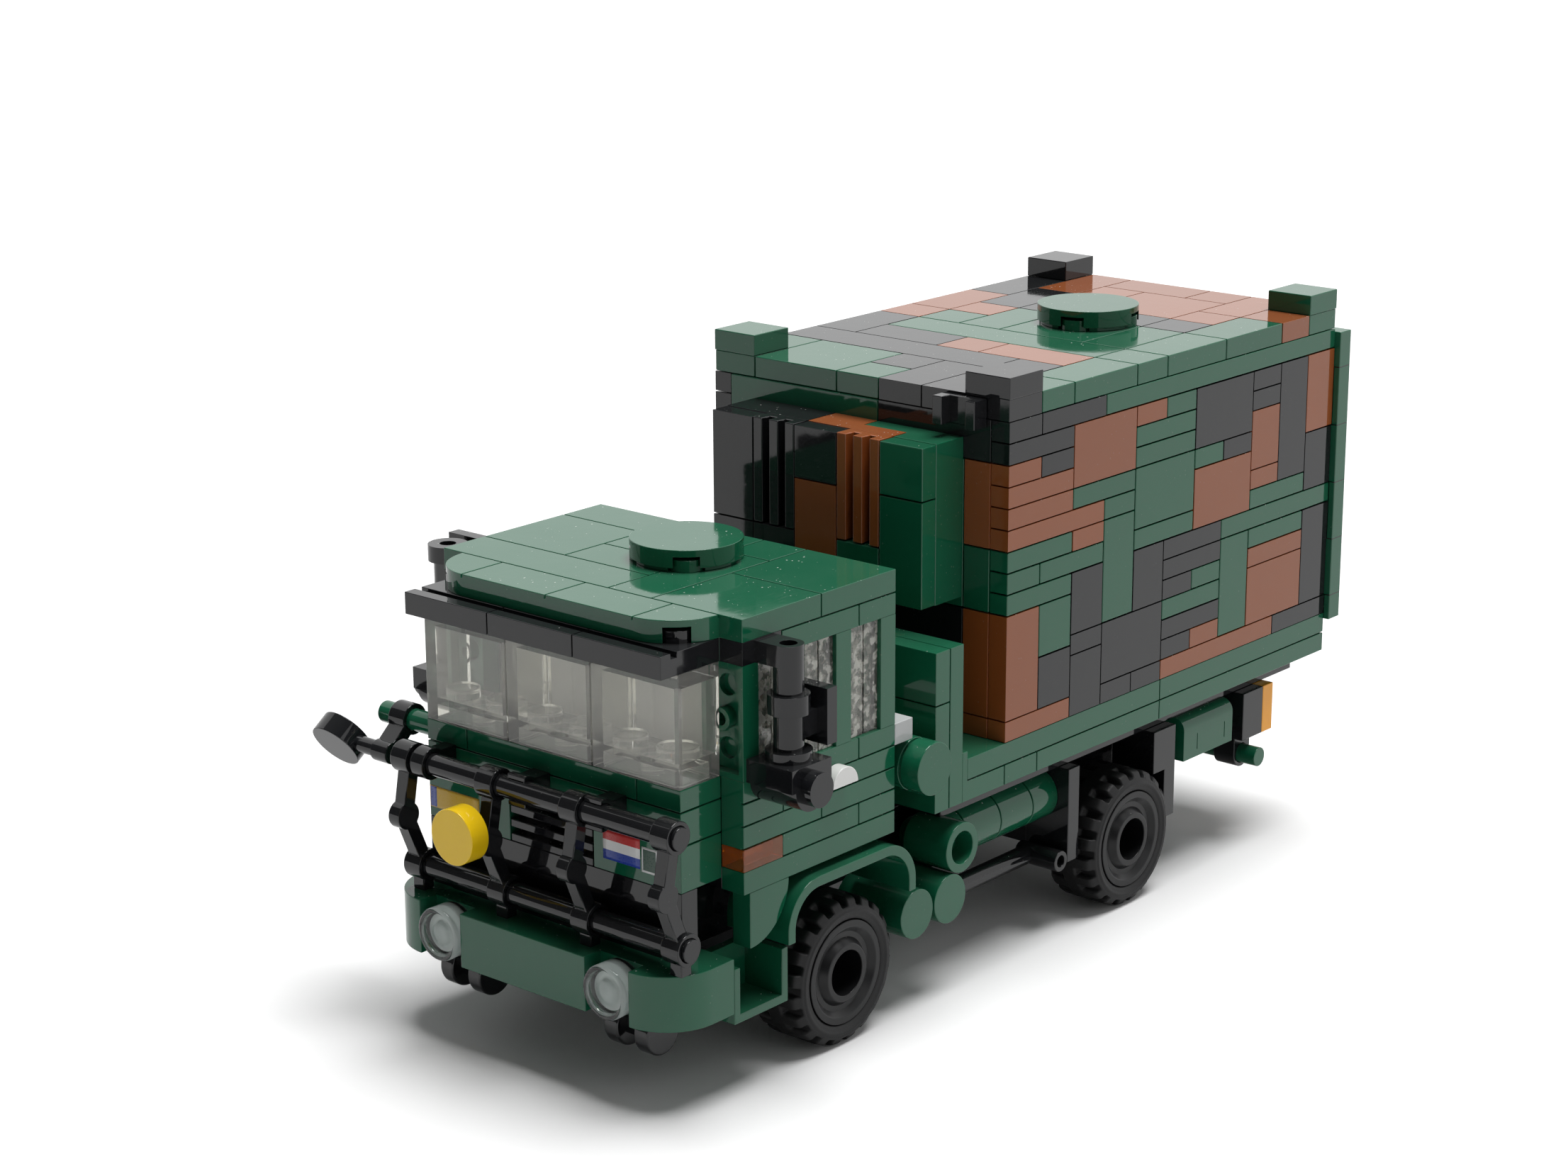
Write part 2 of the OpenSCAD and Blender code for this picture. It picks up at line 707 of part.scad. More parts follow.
module bull_bar_arms() {
    top = [bar_top_y, bar_top_z];
    mid = [bar_mid_y, bar_mid_z];
    low = [bar_low_y, bar_low_z];
    foot = [bar_low_y, bumper_top_z];
    color(black) translate([bar_shift, 0, 0]) for (x = [-arm_outer_x, -stud, stud, arm_outer_x])
        difference() {
            union() {
                side_outline(x - arm_link_w / 2, x + arm_link_w / 2) {
                    link(top, mid, arm_t);
                    link(mid, low, arm_t);
                    link(foot, low, arm_t);
                    translate(mid) circle(pivot_r);
                }
                side_outline(x - arm_w / 2, x + arm_w / 2) for (p = [top, low]) translate(p) circle(eye_r);
            }
            for (p = [top, low]) along_x(rod_r + rod_play, x - arm_w, x + arm_w, p[0], p[1]);
        }
    color(black) {
        side_outline(half_nose * bar_ring_shares[0], half_nose * bar_ring_shares[1]) rod_holder();
        for (b = bar_clip_shares)
            side_outline(half_nose * b[0], half_nose * b[1]) difference() {
                rod_holder();
                translate([bar_top_y - eye_r - over, bar_top_z - eye_r - over])
                    square([eye_r - clip_lap + over, (eye_r + over) * 2]);
            }
    }
}

// Side view of a ring round the upper rod with its bracket to the nose
module rod_holder() {
    top = [bar_top_y, bar_top_z];
    difference() {
        union() {
            link(top, [nose_y, bar_top_z], bracket_h);
            translate(top) circle(eye_r);
        }
        translate(top) circle(rod_r + rod_play);
    }
}

module sign_disc() {
    color("#f2b51d") along_y(sign_d / 2, -stud, sign_y, sign_y + sign_t, sign_z);
}

module cab_floor() {
    inner = half_w - cab_wall;
    color(black) block([-inner, inner], [cab_front_y, cab_back_y - cab_wall], [cab_base_z, bed_mid_z]);
}

module cab_walls() {
    inner = half_w - cab_wall;
    row_h = sill_h / sill_rows;
    lamp_row = bed_mid_z;
    color(green) difference() {
        union() {
            both_sides() block([inner, half_w], [cab_front_y, cab_back_y], [cab_base_z, sill_z]);
            block([-inner - over, inner + over], [cab_back_y - cab_wall, cab_back_y], [cab_base_z, sill_z]);
            block([-inner, inner], [cab_back_y - cab_wall, cab_back_y], [sill_z - over, band_z]);
        }
        both_sides() {
            block([inner - over, half_w + over], [cab_front_y - over, cab_front_y + stud],
                [lamp_row, lamp_row + plate_h]);
            for (i = [1 : sill_rows - 1])
                block([half_w - seam_depth, half_w + over], [cab_front_y - over, cab_back_y + over],
                    [cab_base_z + i * row_h, cab_base_z + i * row_h + seam]);
            for (s = seam_wall_shares) {
                y = cab_front_y + cab_l * s[0];
                block([half_w - seam_depth, half_w + over], [y, y + seam],
                    [cab_base_z + s[1] * row_h, cab_base_z + s[2] * row_h]);
            }
        }
    }
}

module cab_nose() {
    row_z = sill_z - plate_h;
    seam_x = half_nose - nose_end_w;
    front = [nose_y - over, nose_y + seam_depth];
    color(green) difference() {
        block([-half_nose, half_nose], [nose_y, cab_front_y], [nose_low_z, sill_z]);
        block([-half_nose + nose_wall, half_nose - nose_wall], [nose_y + nose_wall, cab_front_y + over],
            [nose_low_z - over, row_z]);
        block([-grille_w / 2, grille_w / 2], [nose_y - over, nose_y + nose_wall + over],
            [nose_low_z - over, panel_top_z]);
        for (z = [row_z, panel_top_z]) {
            block([-half_nose - over, half_nose + over], front, [z, z + seam]);
            both_sides() block([half_nose - seam_depth, half_nose + over],
                [nose_y - over, cab_front_y + over], [z, z + seam]);
        }
        both_sides() block([seam_x, seam_x + seam], front, [row_z, sill_z + over]);
    }
}

module grille() {
    w = grille_w / 2 - seam;
    back = nose_y + nose_wall / 2;
    pitch = (panel_top_z - nose_low_z - seam) / slat_count;
    color(black) union() {
        block([-w, w], [back, nose_y + nose_wall], [nose_low_z, panel_top_z - seam]);
        for (i = [0 : slat_count - 1])
            block([-w, w], [nose_y, back + over],
                [nose_low_z + i * pitch, nose_low_z + (i + slat_share) * pitch]);
    }
}

module corner_lamps() {
    inner = half_w - cab_wall;
    color("#a04a12") both_sides()
        block([inner, half_w], [cab_front_y, cab_front_y + stud], [bed_mid_z, bed_mid_z + plate_h]);
}

module windscreen() {
    w = nose_w / screen_panels;
    color(clear, 0.5) for (i = [0 : screen_panels - 1]) {
        x0 = -half_nose + i * w + seam / 2;
        x1 = x0 + w - seam;
        mid = [(x0 + x1) / 2, (nose_y + cab_front_y) / 2];
        difference() {
            block([x0, x1], [nose_y, cab_front_y], [sill_z, band_z]);
            block([x0 + glass_t, x1 - glass_t], [nose_y + glass_t, cab_front_y + over],
                [sill_z + screen_foot, band_z - screen_head]);
            difference() {
                block([x0 + glass_t, x1 - glass_t], [nose_y + glass_t, cab_front_y - glass_t],
                    [sill_z - over, sill_z + screen_foot_hollow]);
                translate([mid[0], mid[1], sill_z - over])
                    cylinder(r = screen_tube_r, h = screen_foot + over);
            }
        }
        for (share = screen_stud_shares)
            translate([x0 + (x1 - x0) * share, mid[1], sill_z + screen_foot - seam])
                cylinder(d = stud_d, h = stud_h);
    }
}

module side_windows() {
    x0 = half_w - cab_wall + glass_inset;
    x1 = half_w - glass_inset;
    color(clear, 0.5) both_sides() difference() {
        union() {
            block([x0, x1], [cab_front_y + pillar_l, b_pillar_y], [sill_z, band_z]);
            block([x0, x1], [b_pillar_y + pillar_l, c_pillar_y], [sill_z, band_z]);
        }
        for (y = [cab_front_y + pillar_l * 2 : pillar_l : c_pillar_y - seam])
            block([x1 - seam_depth, x1 + over], [y, y + seam], [sill_z - over, band_z + over]);
    }
}

module cab_pillars() {
    inner = half_w - cab_wall;
    tube_x = half_w - stud / 2;
    tube_z = sill_z + window_h / 2;
    floor_y = cab_front_y + pocket_d;
    color(green) both_sides() {
        difference() {
            block([half_w - stud, half_w], [cab_front_y, cab_front_y + pillar_l], [sill_z, band_z]);
            difference() {
                block([half_w - stud + pocket_inset, half_w - pocket_inset], [cab_front_y - over, floor_y],
                    [sill_z + pocket_inset, band_z - pocket_inset]);
                along_y(pocket_tube_r, tube_x, cab_front_y, floor_y + over, tube_z);
            }
            along_y(pocket_tube_hole_r, tube_x, cab_front_y - over, floor_y, tube_z);
            for (z = [tube_z - dimple_set, tube_z + dimple_set])
                along_y(dimple_r, tube_x, floor_y - over, floor_y + dimple_d, z);
        }
        block([inner, half_w], [b_pillar_y, b_pillar_y + pillar_l], [sill_z, band_z]);
        block([inner, half_w], [c_pillar_y, cab_back_y], [sill_z, band_z]);
    }
}

module cab_roof() {
    top = [cab_top_z - seam_depth, cab_top_z + over];
    clip_back_y = cab_front_y + stud;
    band_seam_y = roof_cut_y(roof_band_seam_share);
    color(green) difference() {
        union() {
            block([-half_w, half_w], [cab_front_y, cab_back_y], [band_z, cab_top_z]);
            translate([0, 0, cab_roof_z]) linear_extrude(plate_h) roof_strip();
        }
        both_sides() {
            block([half_nose, half_w + over], [cab_front_y - over, clip_back_y],
                [band_z - over, cab_roof_z]);
            block([half_w - seam_depth, half_w + over], [cab_front_y - over, cab_back_y + over],
                [cab_roof_z - seam, cab_roof_z]);
            block([half_w - seam_depth, half_w + over], [band_seam_y, band_seam_y + seam],
                [band_z - over, cab_roof_z]);
        }
        block([-half_w - over, half_w + over], [cab_front_y - seam, cab_front_y], top);
        for (x = [strip_r - half_nose, 0, half_nose - strip_r])
            block([x - seam, x], [nose_y - over, cab_front_y], top);
        for (t = roof_length_seam_shares)
            block([half_w * t[0] - seam, half_w * t[0]], [roof_cut_y(t[1]), cab_back_y + over], top);
        for (t = roof_cross_seam_shares)
            block([half_w * t[1], half_w * t[2]], [roof_cut_y(t[0]), roof_cut_y(t[0]) + seam], top);
        both_sides() translate([half_nose - strip_r, nose_y + strip_r, cab_roof_z]) rotate(-45)
            edge_notch(strip_r);
        for (t = roof_side_seam_shares)
            mirror([t[0] < 0 ? 1 : 0, 0, 0]) block([half_w - seam_depth, half_w + over],
                [roof_cut_y(t[1]), roof_cut_y(t[1]) + seam], [cab_roof_z, cab_top_z + over]);
    }
}

// Outline of the roof's front strip with its two round corners
module roof_strip() {
    for (side = [-1, 1]) intersection() {
        translate([side * (half_nose - strip_r), cab_front_y - nose_l + strip_r]) circle(strip_r);
        translate([-half_nose, nose_y]) square([nose_w, nose_l]);
    }
    translate([strip_r - half_nose, nose_y]) square([nose_w - strip_r * 2, nose_l + over]);
}

// Place along the cab's roof, from its front, as a share of its length
function roof_cut_y(share) = cab_front_y + cab_l * share;

module sun_visor() {
    front = nose_y - visor_reach;
    color(black) difference() {
        block([-half_nose, half_nose], [front, cab_front_y], [band_z, cab_roof_z]);
        block([-half_nose - over, half_nose + over], [nose_y - visor_groove - seam, nose_y - seam],
            [cab_roof_z - visor_groove_d, cab_roof_z + over]);
        for (i = [1 : screen_panels - 1]) {
            x = -half_nose + nose_w / screen_panels * i;
            block([x, x + seam], [front - over, nose_y], [band_z - over, cab_roof_z + over]);
        }
    }
    color(black) both_sides()
        translate([half_nose - strip_r, nose_y + strip_r, cab_roof_z]) rotate(-45) edge_stud(strip_r);
}

module hatch() {
    r = hatch_d / 2;
    turns = [0, 90, 180, 270];
    for (turn = turns) rotate(turn) edge_stud(r);
    difference() {
        rotate_extrude() polygon([
            [0, 0], [r - hatch_lip, 0], [r - hatch_lip, hatch_lip],
            [r, hatch_lip], [r, plate_h], [0, plate_h]
        ]);
        for (turn = turns) rotate(turn) edge_notch(r);
    }
}

// A stud that stands just inside a round edge of radius r, on the +X side
module edge_stud(r) {
    translate([r - stud_d / 2, 0, 0]) cylinder(d = stud_d, h = stud_h);
}

// The notch under a round edge of radius r that clears that stud
module edge_notch(r) {
    translate([r - stud_d / 2, 0, -over]) cylinder(d = stud_d + notch_play * 2, h = notch_h + over);
}

module roof_hatches() {
    color(green) {
        translate([hatch_x, cab_back_y - cab_l * hatch_y_share, cab_top_z]) rotate(hatch_turn) hatch();
        translate([box_hatch_x, box_l * box_hatch_y_share, box_roof_z]) rotate(box_hatch_turn) hatch();
    }
}

module mirror_posts() {
    color(black) {
        mirror_post(0, 0);
        mirror([1, 0, 0]) mirror_post(right_post_lift, right_plate_lift);
    }
}

// One mirror with its block and post; its top and its plate can be lifted
module mirror_post(top_lift, plate_lift) {
    plate_y = mirror_y + mirror_plate_set;
    plate_z = mirror_plate_z + plate_lift;
    holder_z = sleeve_z - holder_h + plate_lift;
    block_top_z = mirror_block_z + mirror_block_h;
    stud_x = half_w + mirror_w;
    top_z = post_top_z + top_lift;
    difference() {
        union() {
            block([half_w, stud_x], [mirror_y - mirror_w / 2, mirror_y + mirror_w / 2],
                [mirror_mid_z, block_top_z]);
            along_x(mirror_block_h / 2, half_w, stud_x, mirror_y, mirror_mid_z);
            along_x(stud_d / 2, stud_x - over, stud_x + stud_h, mirror_y, mirror_mid_z);
            translate([mirror_post_x, mirror_y, block_top_z - over]) {
                cylinder(r = post_r, h = top_z - block_top_z + over);
                cylinder(r = collar_r, h = collar_h + over);
            }
            translate([mirror_post_x, mirror_y, sleeve_z]) cylinder(r = sleeve_r, h = sleeve_h);
            if (top_lift > 0) translate([mirror_post_x, mirror_y, post_top_z])
                cylinder(r = sleeve_r, h = top_lift);
            block([mirror_post_x - holder_w / 2, mirror_post_x + holder_w / 2], [mirror_y, plate_y + over],
                [holder_z, holder_z + holder_h]);
            block([mirror_post_x - mirror_plate_w / 2, mirror_post_x + mirror_plate_w / 2],
                [plate_y, plate_y + mirror_plate_t], [plate_z, plate_z + mirror_plate_h]);
            block([half_nose, half_w], [cab_front_y, cab_front_y + stud - seam], [band_z, cab_roof_z]);
            block([half_w - over, mirror_post_x], [mirror_y - post_r, mirror_y + post_r],
                [band_z, post_top_z]);
        }
        translate([mirror_post_x, mirror_y, top_z - post_hole_d])
            cylinder(r = post_hole_r, h = post_hole_d + over);
    }
}

module front_mirror_bar() {
    color(green) along_x(rod_r, -half_nose - front_bar_l, -half_nose, front_bar_y, front_bar_z);
}

module front_mirror() {
    eye = [front_bar_y, front_bar_z];
    joint = [front_bar_y - front_arm_dy, front_bar_z - front_arm_dz];
    color(black) union() {
        side_outline(-front_arm_x - arm_w / 2, -front_arm_x + arm_w / 2) difference() {
            union() {
                translate(eye) circle(eye_r);
                translate(joint) circle(rod_r);
                link(eye, joint, arm_t);
            }
            translate(eye) circle(rod_r + rod_play);
        }
        along_x(front_arm_r, -front_disc_x, -front_arm_x, joint[0], joint[1]);
        translate([-front_disc_x, joint[0], joint[1]]) rotate([front_disc_tilt, 0, 0])
            translate([0, 0, -front_disc_t / 2]) cylinder(d = front_disc_d, h = front_disc_t);
    }
}

module door_handles() {
    y = cab_front_y + cab_l * handle_y_share;
    z = sill_z - handle_drop;
    color("#e8e8e4") both_sides() side_outline(half_w, half_w + handle_t) intersection() {
        translate([y, z]) circle(handle_r);
        translate([y - handle_r, z]) square([handle_r * 2, handle_r]);
    }
}

module mudguards() {
    low = guard_z - guard_h;
    pad = [front_axle_y - guard_pad_l / 2, front_axle_y + guard_pad_l / 2];
    color(green) both_sides() union() {
        side_outline(guard_in_x, half_w + guard_out) difference() {
            guard_outline(guard_l / 2, low, guard_z, guard_round);
            guard_outline(guard_l / 2 - guard_t, low - over, guard_z - guard_t, guard_round - guard_t);
        }
        block([guard_in_x, half_nose], pad, [guard_z - guard_t / 2, cab_base_z]);
    }
}

// Outline with two round upper corners over the front axle
module guard_outline(reach, low, top, r) {
    translate([front_axle_y, 0]) intersection() {
        union() {
            translate([-reach, low]) square([reach * 2, top - r - low]);
            translate([r - reach, low]) square([(reach - r) * 2, top - low]);
            for (side = [-1, 1]) translate([side * (reach - r), top - r]) circle(r);
        }
        translate([-reach, low]) square([reach * 2, top - low]);
    }
}

module grey_plates() {
    color("#b9bcbd") both_sides()
        block([grey_in_x, half_w], [cab_back_y, cab_back_y + grey_l], [sill_z - plate_h, sill_z]);
}

module steps() {
    low_z = bumper_z - step_drop;
    top_z = low_z + step_h;
    inside_y = [bumper_back_y + step_t, bumper_back_y + step_l - step_t];
    color(green) both_sides() {
        intersection() {
            along_x(quarter_r, half_w - plate_h, half_w, quarter_y, cab_base_z);
            block([half_w - plate_h, half_w], [quarter_y, quarter_y + quarter_r],
                [cab_base_z - quarter_r, cab_base_z]);
        }
        difference() {
            block([bumper_end_x, half_w], [bumper_back_y, bumper_back_y + step_l], [low_z, top_z]);
            block([bumper_end_x + step_t, half_w + over], inside_y, [low_z + step_t, top_z + over]);
        }
    }
}

module air_bottles() {
    color(green) both_sides() {
        for (y = bottle_ys) along_x(bottle_r, rail_out_x, half_w, y, bottle_z);
        along_x(drum_r, drum_neck_x, drum_face_x, drum_y, drum_z);
        along_x(drum_neck_r, drum_neck_x - drum_neck_l - over, drum_neck_x + over, drum_y, drum_z);
        along_x(drum_r, drum_face_x - drum_l, drum_neck_x - drum_neck_l, drum_y, drum_z);
    }
}

module side_tanks() {
    color(green) both_sides() difference() {
        union() {
            along_y(tank_r, tank_x, ring_y + seam, flap_front_y, tank_z);
            along_x(ring_r, ring_in_x, half_w, ring_y, ring_z);
        }
        along_x(ring_hole_r, half_w - plate_h, half_w + over, ring_y, ring_z);
        for (share = tank_seam_shares) difference() {
            along_y(tank_r + over, tank_x, box_l * share, box_l * share + seam, tank_z);
            along_y(tank_r - seam_depth, tank_x, box_l * share - over, box_l * share + seam + over, tank_z);
        }
    }
}

module exhausts() {
    tube_y = flap_front_y - tube_r;
    start_y = bottle_ys[1] + bottle_r;
    color(black) both_sides() difference() {
        union() {
            along_y(pipe_r, pipe_x, start_y, tube_y, pipe_z);
            along_x(tube_r, pipe_x - tube_r, flap_out_x, tube_y, pipe_z);
        }
        along_x(tube_hole_r, flap_out_x - tube_hole_d, flap_out_x + over, tube_y, pipe_z);
    }
}

module mud_flaps() {
    color(black) both_sides() for (side = [-1, 1]) {
        y = rear_axle_y + side * (flap_reach + flap_t / 2);
        block([flap_out_x - flap_w, flap_out_x], [y - flap_t / 2, y + flap_t / 2], [sub_z - flap_h, sub_z]);
        if (side > 0)
            block([flap_out_x - flap_w, flap_out_x], [y - flap_t / 2 - short_flap_t, y - flap_t / 2 + seam],
                [sub_z - short_flap_h, sub_z]);
    }
}

module lockers() {
    y = rear_axle_y + flap_reach + flap_t + locker_gap;
    edge_x = flap_out_x - locker_round;
    edge_z = sub_z - locker_round;
    color(green) both_sides() difference() {
        union() {
            block([rail_out_x, flap_out_x], [y, y + locker_l], [sub_z - locker_h, edge_z]);
            block([rail_out_x, edge_x], [y, y + locker_l], [edge_z - over, sub_z]);
            along_y(locker_round, edge_x, y, y + locker_l, edge_z);
        }
        for (share = locker_seam_shares)
            block([flap_out_x - seam_depth, flap_out_x + over],
                [y + locker_l * share, y + locker_l * share + seam],
                [sub_z - locker_h + locker_lid, edge_z - locker_lid]);
    }
}

module rear_bar() {
    low = sub_z - lamp_box_h;
    rod = [lamp_box_y + rear_rod_set, low - rear_rod_drop];
    clip_x1 = flap_out_x - clip_arm_inset;
    color(black) both_sides() union() {
        block([flap_out_x - lamp_box_w, flap_out_x], [lamp_box_y, lamp_box_y + lamp_box_l], [low, sub_z]);
        side_outline(clip_x1 - clip_arm_w, clip_x1) difference() {
            union() {
                translate(rod) circle(eye_r);
                link([rod[0], low + over], rod, eye_r * 2);
            }
            translate(rod) circle(rod_r + rod_play);
        }
    }
}

module rear_rod() {
    x = half_w - rear_rod_inset;
    color(green) along_x(rod_r, -x, x, lamp_box_y + rear_rod_set, sub_z - lamp_box_h - rear_rod_drop);
}

module rear_lamps() {
    y = lamp_box_y + lamp_box_l;
    color("#d9761a") both_sides()
        block([flap_out_x - lamp_box_w, flap_out_x], [y, y + rear_lamp_t], [sub_z - lamp_box_h, sub_z]);
}

module container_sides() {
    x = half_w - clad_t;
    color(green) both_sides() block([x - box_wall, x], [clad_t, box_l], [deck_z, box_tile_z]);
}

module container_ends() {
    x = half_w - clad_t - box_wall;
    color(green) {
        block([-x, x], [clad_t, clad_t + box_wall], [deck_z, box_beam_z]);
        block([-x, x], [box_l - box_wall, box_l], [deck_z, box_beam_z]);
    }
}

module container_roof() {
    x = half_w - clad_t - box_wall;
    color(green) block([-x, x], [clad_t, box_l], [box_beam_z, box_tile_z]);
}

module container_door() {
    color(green) block([-door_w / 2, door_w / 2], [box_l, door_y],
        [deck_z - door_low, box_roof_z - door_drop]);
}

// Facing tiles of one colour, each cut back by half a seam on every side
module side_tiles(shares) {
    gap = seam / 2;
    w = box_l / side_columns;
    h = (box_tile_z - deck_z) / side_rows;
    for (t = shares)
        both_sides() block([half_w - clad_t, half_w], [t[0] * w + gap, (t[0] + t[1]) * w - gap],
            [deck_z + t[2] * h + gap, deck_z + (t[2] + t[3]) * h - gap]);
}

module roof_tiles(shares) {
    gap = seam / 2;
    l = box_l / side_columns;
    w = truck_w / cross_columns;
    for (t = shares)
        block([t[2] * w - half_w + gap, (t[2] + t[3]) * w - half_w - gap],
            [t[0] * l + gap, (t[0] + t[1]) * l - gap], [box_tile_z, box_roof_z]);
}

module front_tiles(shares) {
    gap = seam / 2;
    w = truck_w / cross_columns;
    h = (box_tile_z - deck_z) / side_rows;
    edge = half_w - clad_t;
    for (t = shares)
        block([max(t[0] * w - half_w, -edge) + gap, min((t[0] + t[1]) * w - half_w, edge) - gap],
            [0, clad_t], [deck_z + t[2] * h + gap, deck_z + (t[2] + t[3]) * h - gap]);
}

module aircon_tiles(shares) {
    gap = seam / 2;
    w = aircon_w / aircon_cols;
    h = aircon_h / aircon_thirds;
    for (t = shares)
        block([t[0] * w - aircon_w / 2 + gap, (t[0] + 1) * w - aircon_w / 2 - gap],
            [-aircon_d, aircon_d / aircon_thirds - aircon_d],
            [aircon_z + t[1] * h + gap, aircon_z + (t[1] + t[2]) * h - gap]);
}

module aircon_layers(shares) {
    gap = seam / 2;
    w = aircon_w / aircon_cols;
    for (t = shares)
        block([t[1] * w - aircon_w / 2 + gap, (t[1] + t[2]) * w - aircon_w / 2 - gap],
            [t[0] * aircon_d / aircon_thirds - aircon_d, (t[0] + 1) * aircon_d / aircon_thirds - aircon_d],
            [aircon_z, aircon_z + aircon_h]);
}

module camo_green() {
    color(green) {
        side_tiles(side_green_shares);
        roof_tiles(roof_green_shares);
        front_tiles(front_green_shares);
        aircon_tiles(aircon_green_shares);
    }
}
module camo_brown() {
    color(brown) {
        side_tiles(side_brown_shares);
        roof_tiles(roof_brown_shares);
        front_tiles(front_brown_shares);
        aircon_tiles(aircon_brown_shares);
        aircon_layers(layer_brown_shares);
    }
}
module camo_black() {
    color(black) {
        side_tiles(side_black_shares);
        roof_tiles(roof_black_shares);
        front_tiles(front_black_shares);
        aircon_tiles(aircon_black_shares);
        aircon_layers(layer_black_shares);
    }
}

module casting(x_side, y) {
    translate([x_side * (half_w - stud / 2), y, box_roof_z + casting_t / 2])
        cube([stud, stud, casting_t], center = true);
}
module castings_green() {
    color(green) {
        casting(1, box_l - stud / 2);
        casting(-1, stud / 2);
    }
}
module castings_black() {
    color(black) {
        casting(1, stud / 2);
        casting(-1, box_l - stud / 2);
        translate([clip_x, 0, box_tile_z - clip_drop]) difference() {
            block([-clip_w / 2, clip_w / 2], [-clip_t, 0], [0, clip_h]);
            block([prong_w - clip_w / 2, clip_w / 2 - prong_w], [-clip_t - over, -clip_back_t],
                [-over, clip_h + over]);
        }
    }
}

module aircon() {
    color(green) union() aircon_layers(layer_green_shares);
}

// A tile with upright slats in one column of the air conditioner's front
module slat_tile(column) {
    w = aircon_w / aircon_cols;
    x0 = column * w - aircon_w / 2 + seam / 2;
    z = [aircon_z + aircon_h / aircon_thirds + seam / 2, aircon_z + aircon_h];
    pitch = (w - seam) / (slat_cols - 1 + slat_share);
    back = aircon_d / aircon_thirds - aircon_d;
    block([x0, x0 + w - seam], [back - slat_back, back], z);
    for (i = [0 : slat_cols - 1])
        block([x0 + i * pitch, x0 + (i + slat_share) * pitch], [-aircon_d, back], z);
}
module aircon_grille_black() {
    color(black) union() slat_tile(1);
}
module aircon_grille_brown() {
    color(brown) union() slat_tile(3);
}

placed() chassis_frame();
placed() front_axle();
placed() rear_axle();
placed() sub_frame();
placed() bed_lower();
placed() bed_upper();
placed() headboard();
placed() rim_fl();
placed() rim_fr();
placed() rim_rl();
placed() rim_rr();
placed() tyre_fl();
placed() tyre_fr();
placed() tyre_rl();
placed() tyre_rr();
placed() valance();
placed() bumper();
placed() headlamps();
placed() bull_bar_rods();
placed() bull_bar_arms();
placed() sign_disc();
placed() cab_floor();
placed() cab_walls();
placed() cab_nose();
placed() grille();
placed() corner_lamps();
placed() windscreen();
placed() side_windows();
placed() cab_pillars();
placed() cab_roof();
placed() sun_visor();
placed() roof_hatches();
placed() mirror_posts();
placed() front_mirror_bar();
placed() front_mirror();
placed() door_handles();
placed() mudguards();
placed() grey_plates();
placed() steps();
placed() air_bottles();
placed() side_tanks();
placed() exhausts();
placed() mud_flaps();
placed() lockers();
placed() rear_bar();
placed() rear_rod();
placed() rear_lamps();
placed() container_sides();
placed() container_ends();
placed() container_roof();
placed() container_door();
placed() camo_green();
placed() camo_brown();
placed() camo_black();
placed() castings_green();
placed() castings_black();
placed() aircon();
placed() aircon_grille_black();
placed() aircon_grille_brown();
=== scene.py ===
"""Dressed scene of a toy military box truck that is built of interlocking plastic bricks.

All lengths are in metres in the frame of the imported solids. The truck looks along -Y and +X is its left side.
"""
import json
import logging
from dataclasses import dataclass
from enum import Enum

import bmesh
import bpy
import numpy as np
from mathutils import Matrix, Vector


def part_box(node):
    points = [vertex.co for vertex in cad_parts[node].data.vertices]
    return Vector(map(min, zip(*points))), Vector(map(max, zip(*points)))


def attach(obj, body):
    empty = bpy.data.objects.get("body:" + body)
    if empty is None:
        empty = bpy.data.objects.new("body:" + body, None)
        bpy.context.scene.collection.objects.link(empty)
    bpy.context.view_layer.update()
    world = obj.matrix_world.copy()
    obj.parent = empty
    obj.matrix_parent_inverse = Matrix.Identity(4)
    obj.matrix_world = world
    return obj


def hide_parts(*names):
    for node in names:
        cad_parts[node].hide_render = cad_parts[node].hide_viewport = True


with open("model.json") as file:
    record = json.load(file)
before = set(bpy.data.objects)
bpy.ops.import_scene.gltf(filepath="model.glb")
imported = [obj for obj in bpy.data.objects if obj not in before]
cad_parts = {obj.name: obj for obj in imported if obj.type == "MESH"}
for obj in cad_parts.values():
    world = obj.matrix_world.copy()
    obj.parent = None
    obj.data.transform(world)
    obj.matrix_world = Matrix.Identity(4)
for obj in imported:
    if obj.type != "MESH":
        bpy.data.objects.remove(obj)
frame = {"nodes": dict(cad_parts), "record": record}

MM = 0.001
FULL_TURN = 2.0 * np.pi
NOISE_MIDDLE = 0.5
AXIS_HOLE = 0.001 * MM
CORNERS = ("fl", "fr", "rl", "rr")
LOG = logging.getLogger("truck")
Colour = tuple[float, float, float]
Place = tuple[float, float, float]
Span = tuple[float, float]
WHITE: Colour = (1.0, 1.0, 1.0)
GREEN: Colour = (0.006, 0.105, 0.050)


class Slot(Enum):
    """Material slots of the record."""

    GREEN = "green_plastic"
    BROWN = "brown_plastic"
    BLACK = "black_plastic"
    CLEAR = "clear_plastic"
    AMBER = "amber_clear"
    GREY = "grey_plastic"
    WHITE = "white_plastic"
    YELLOW = "yellow_plastic"
    TYRE = "tyre"


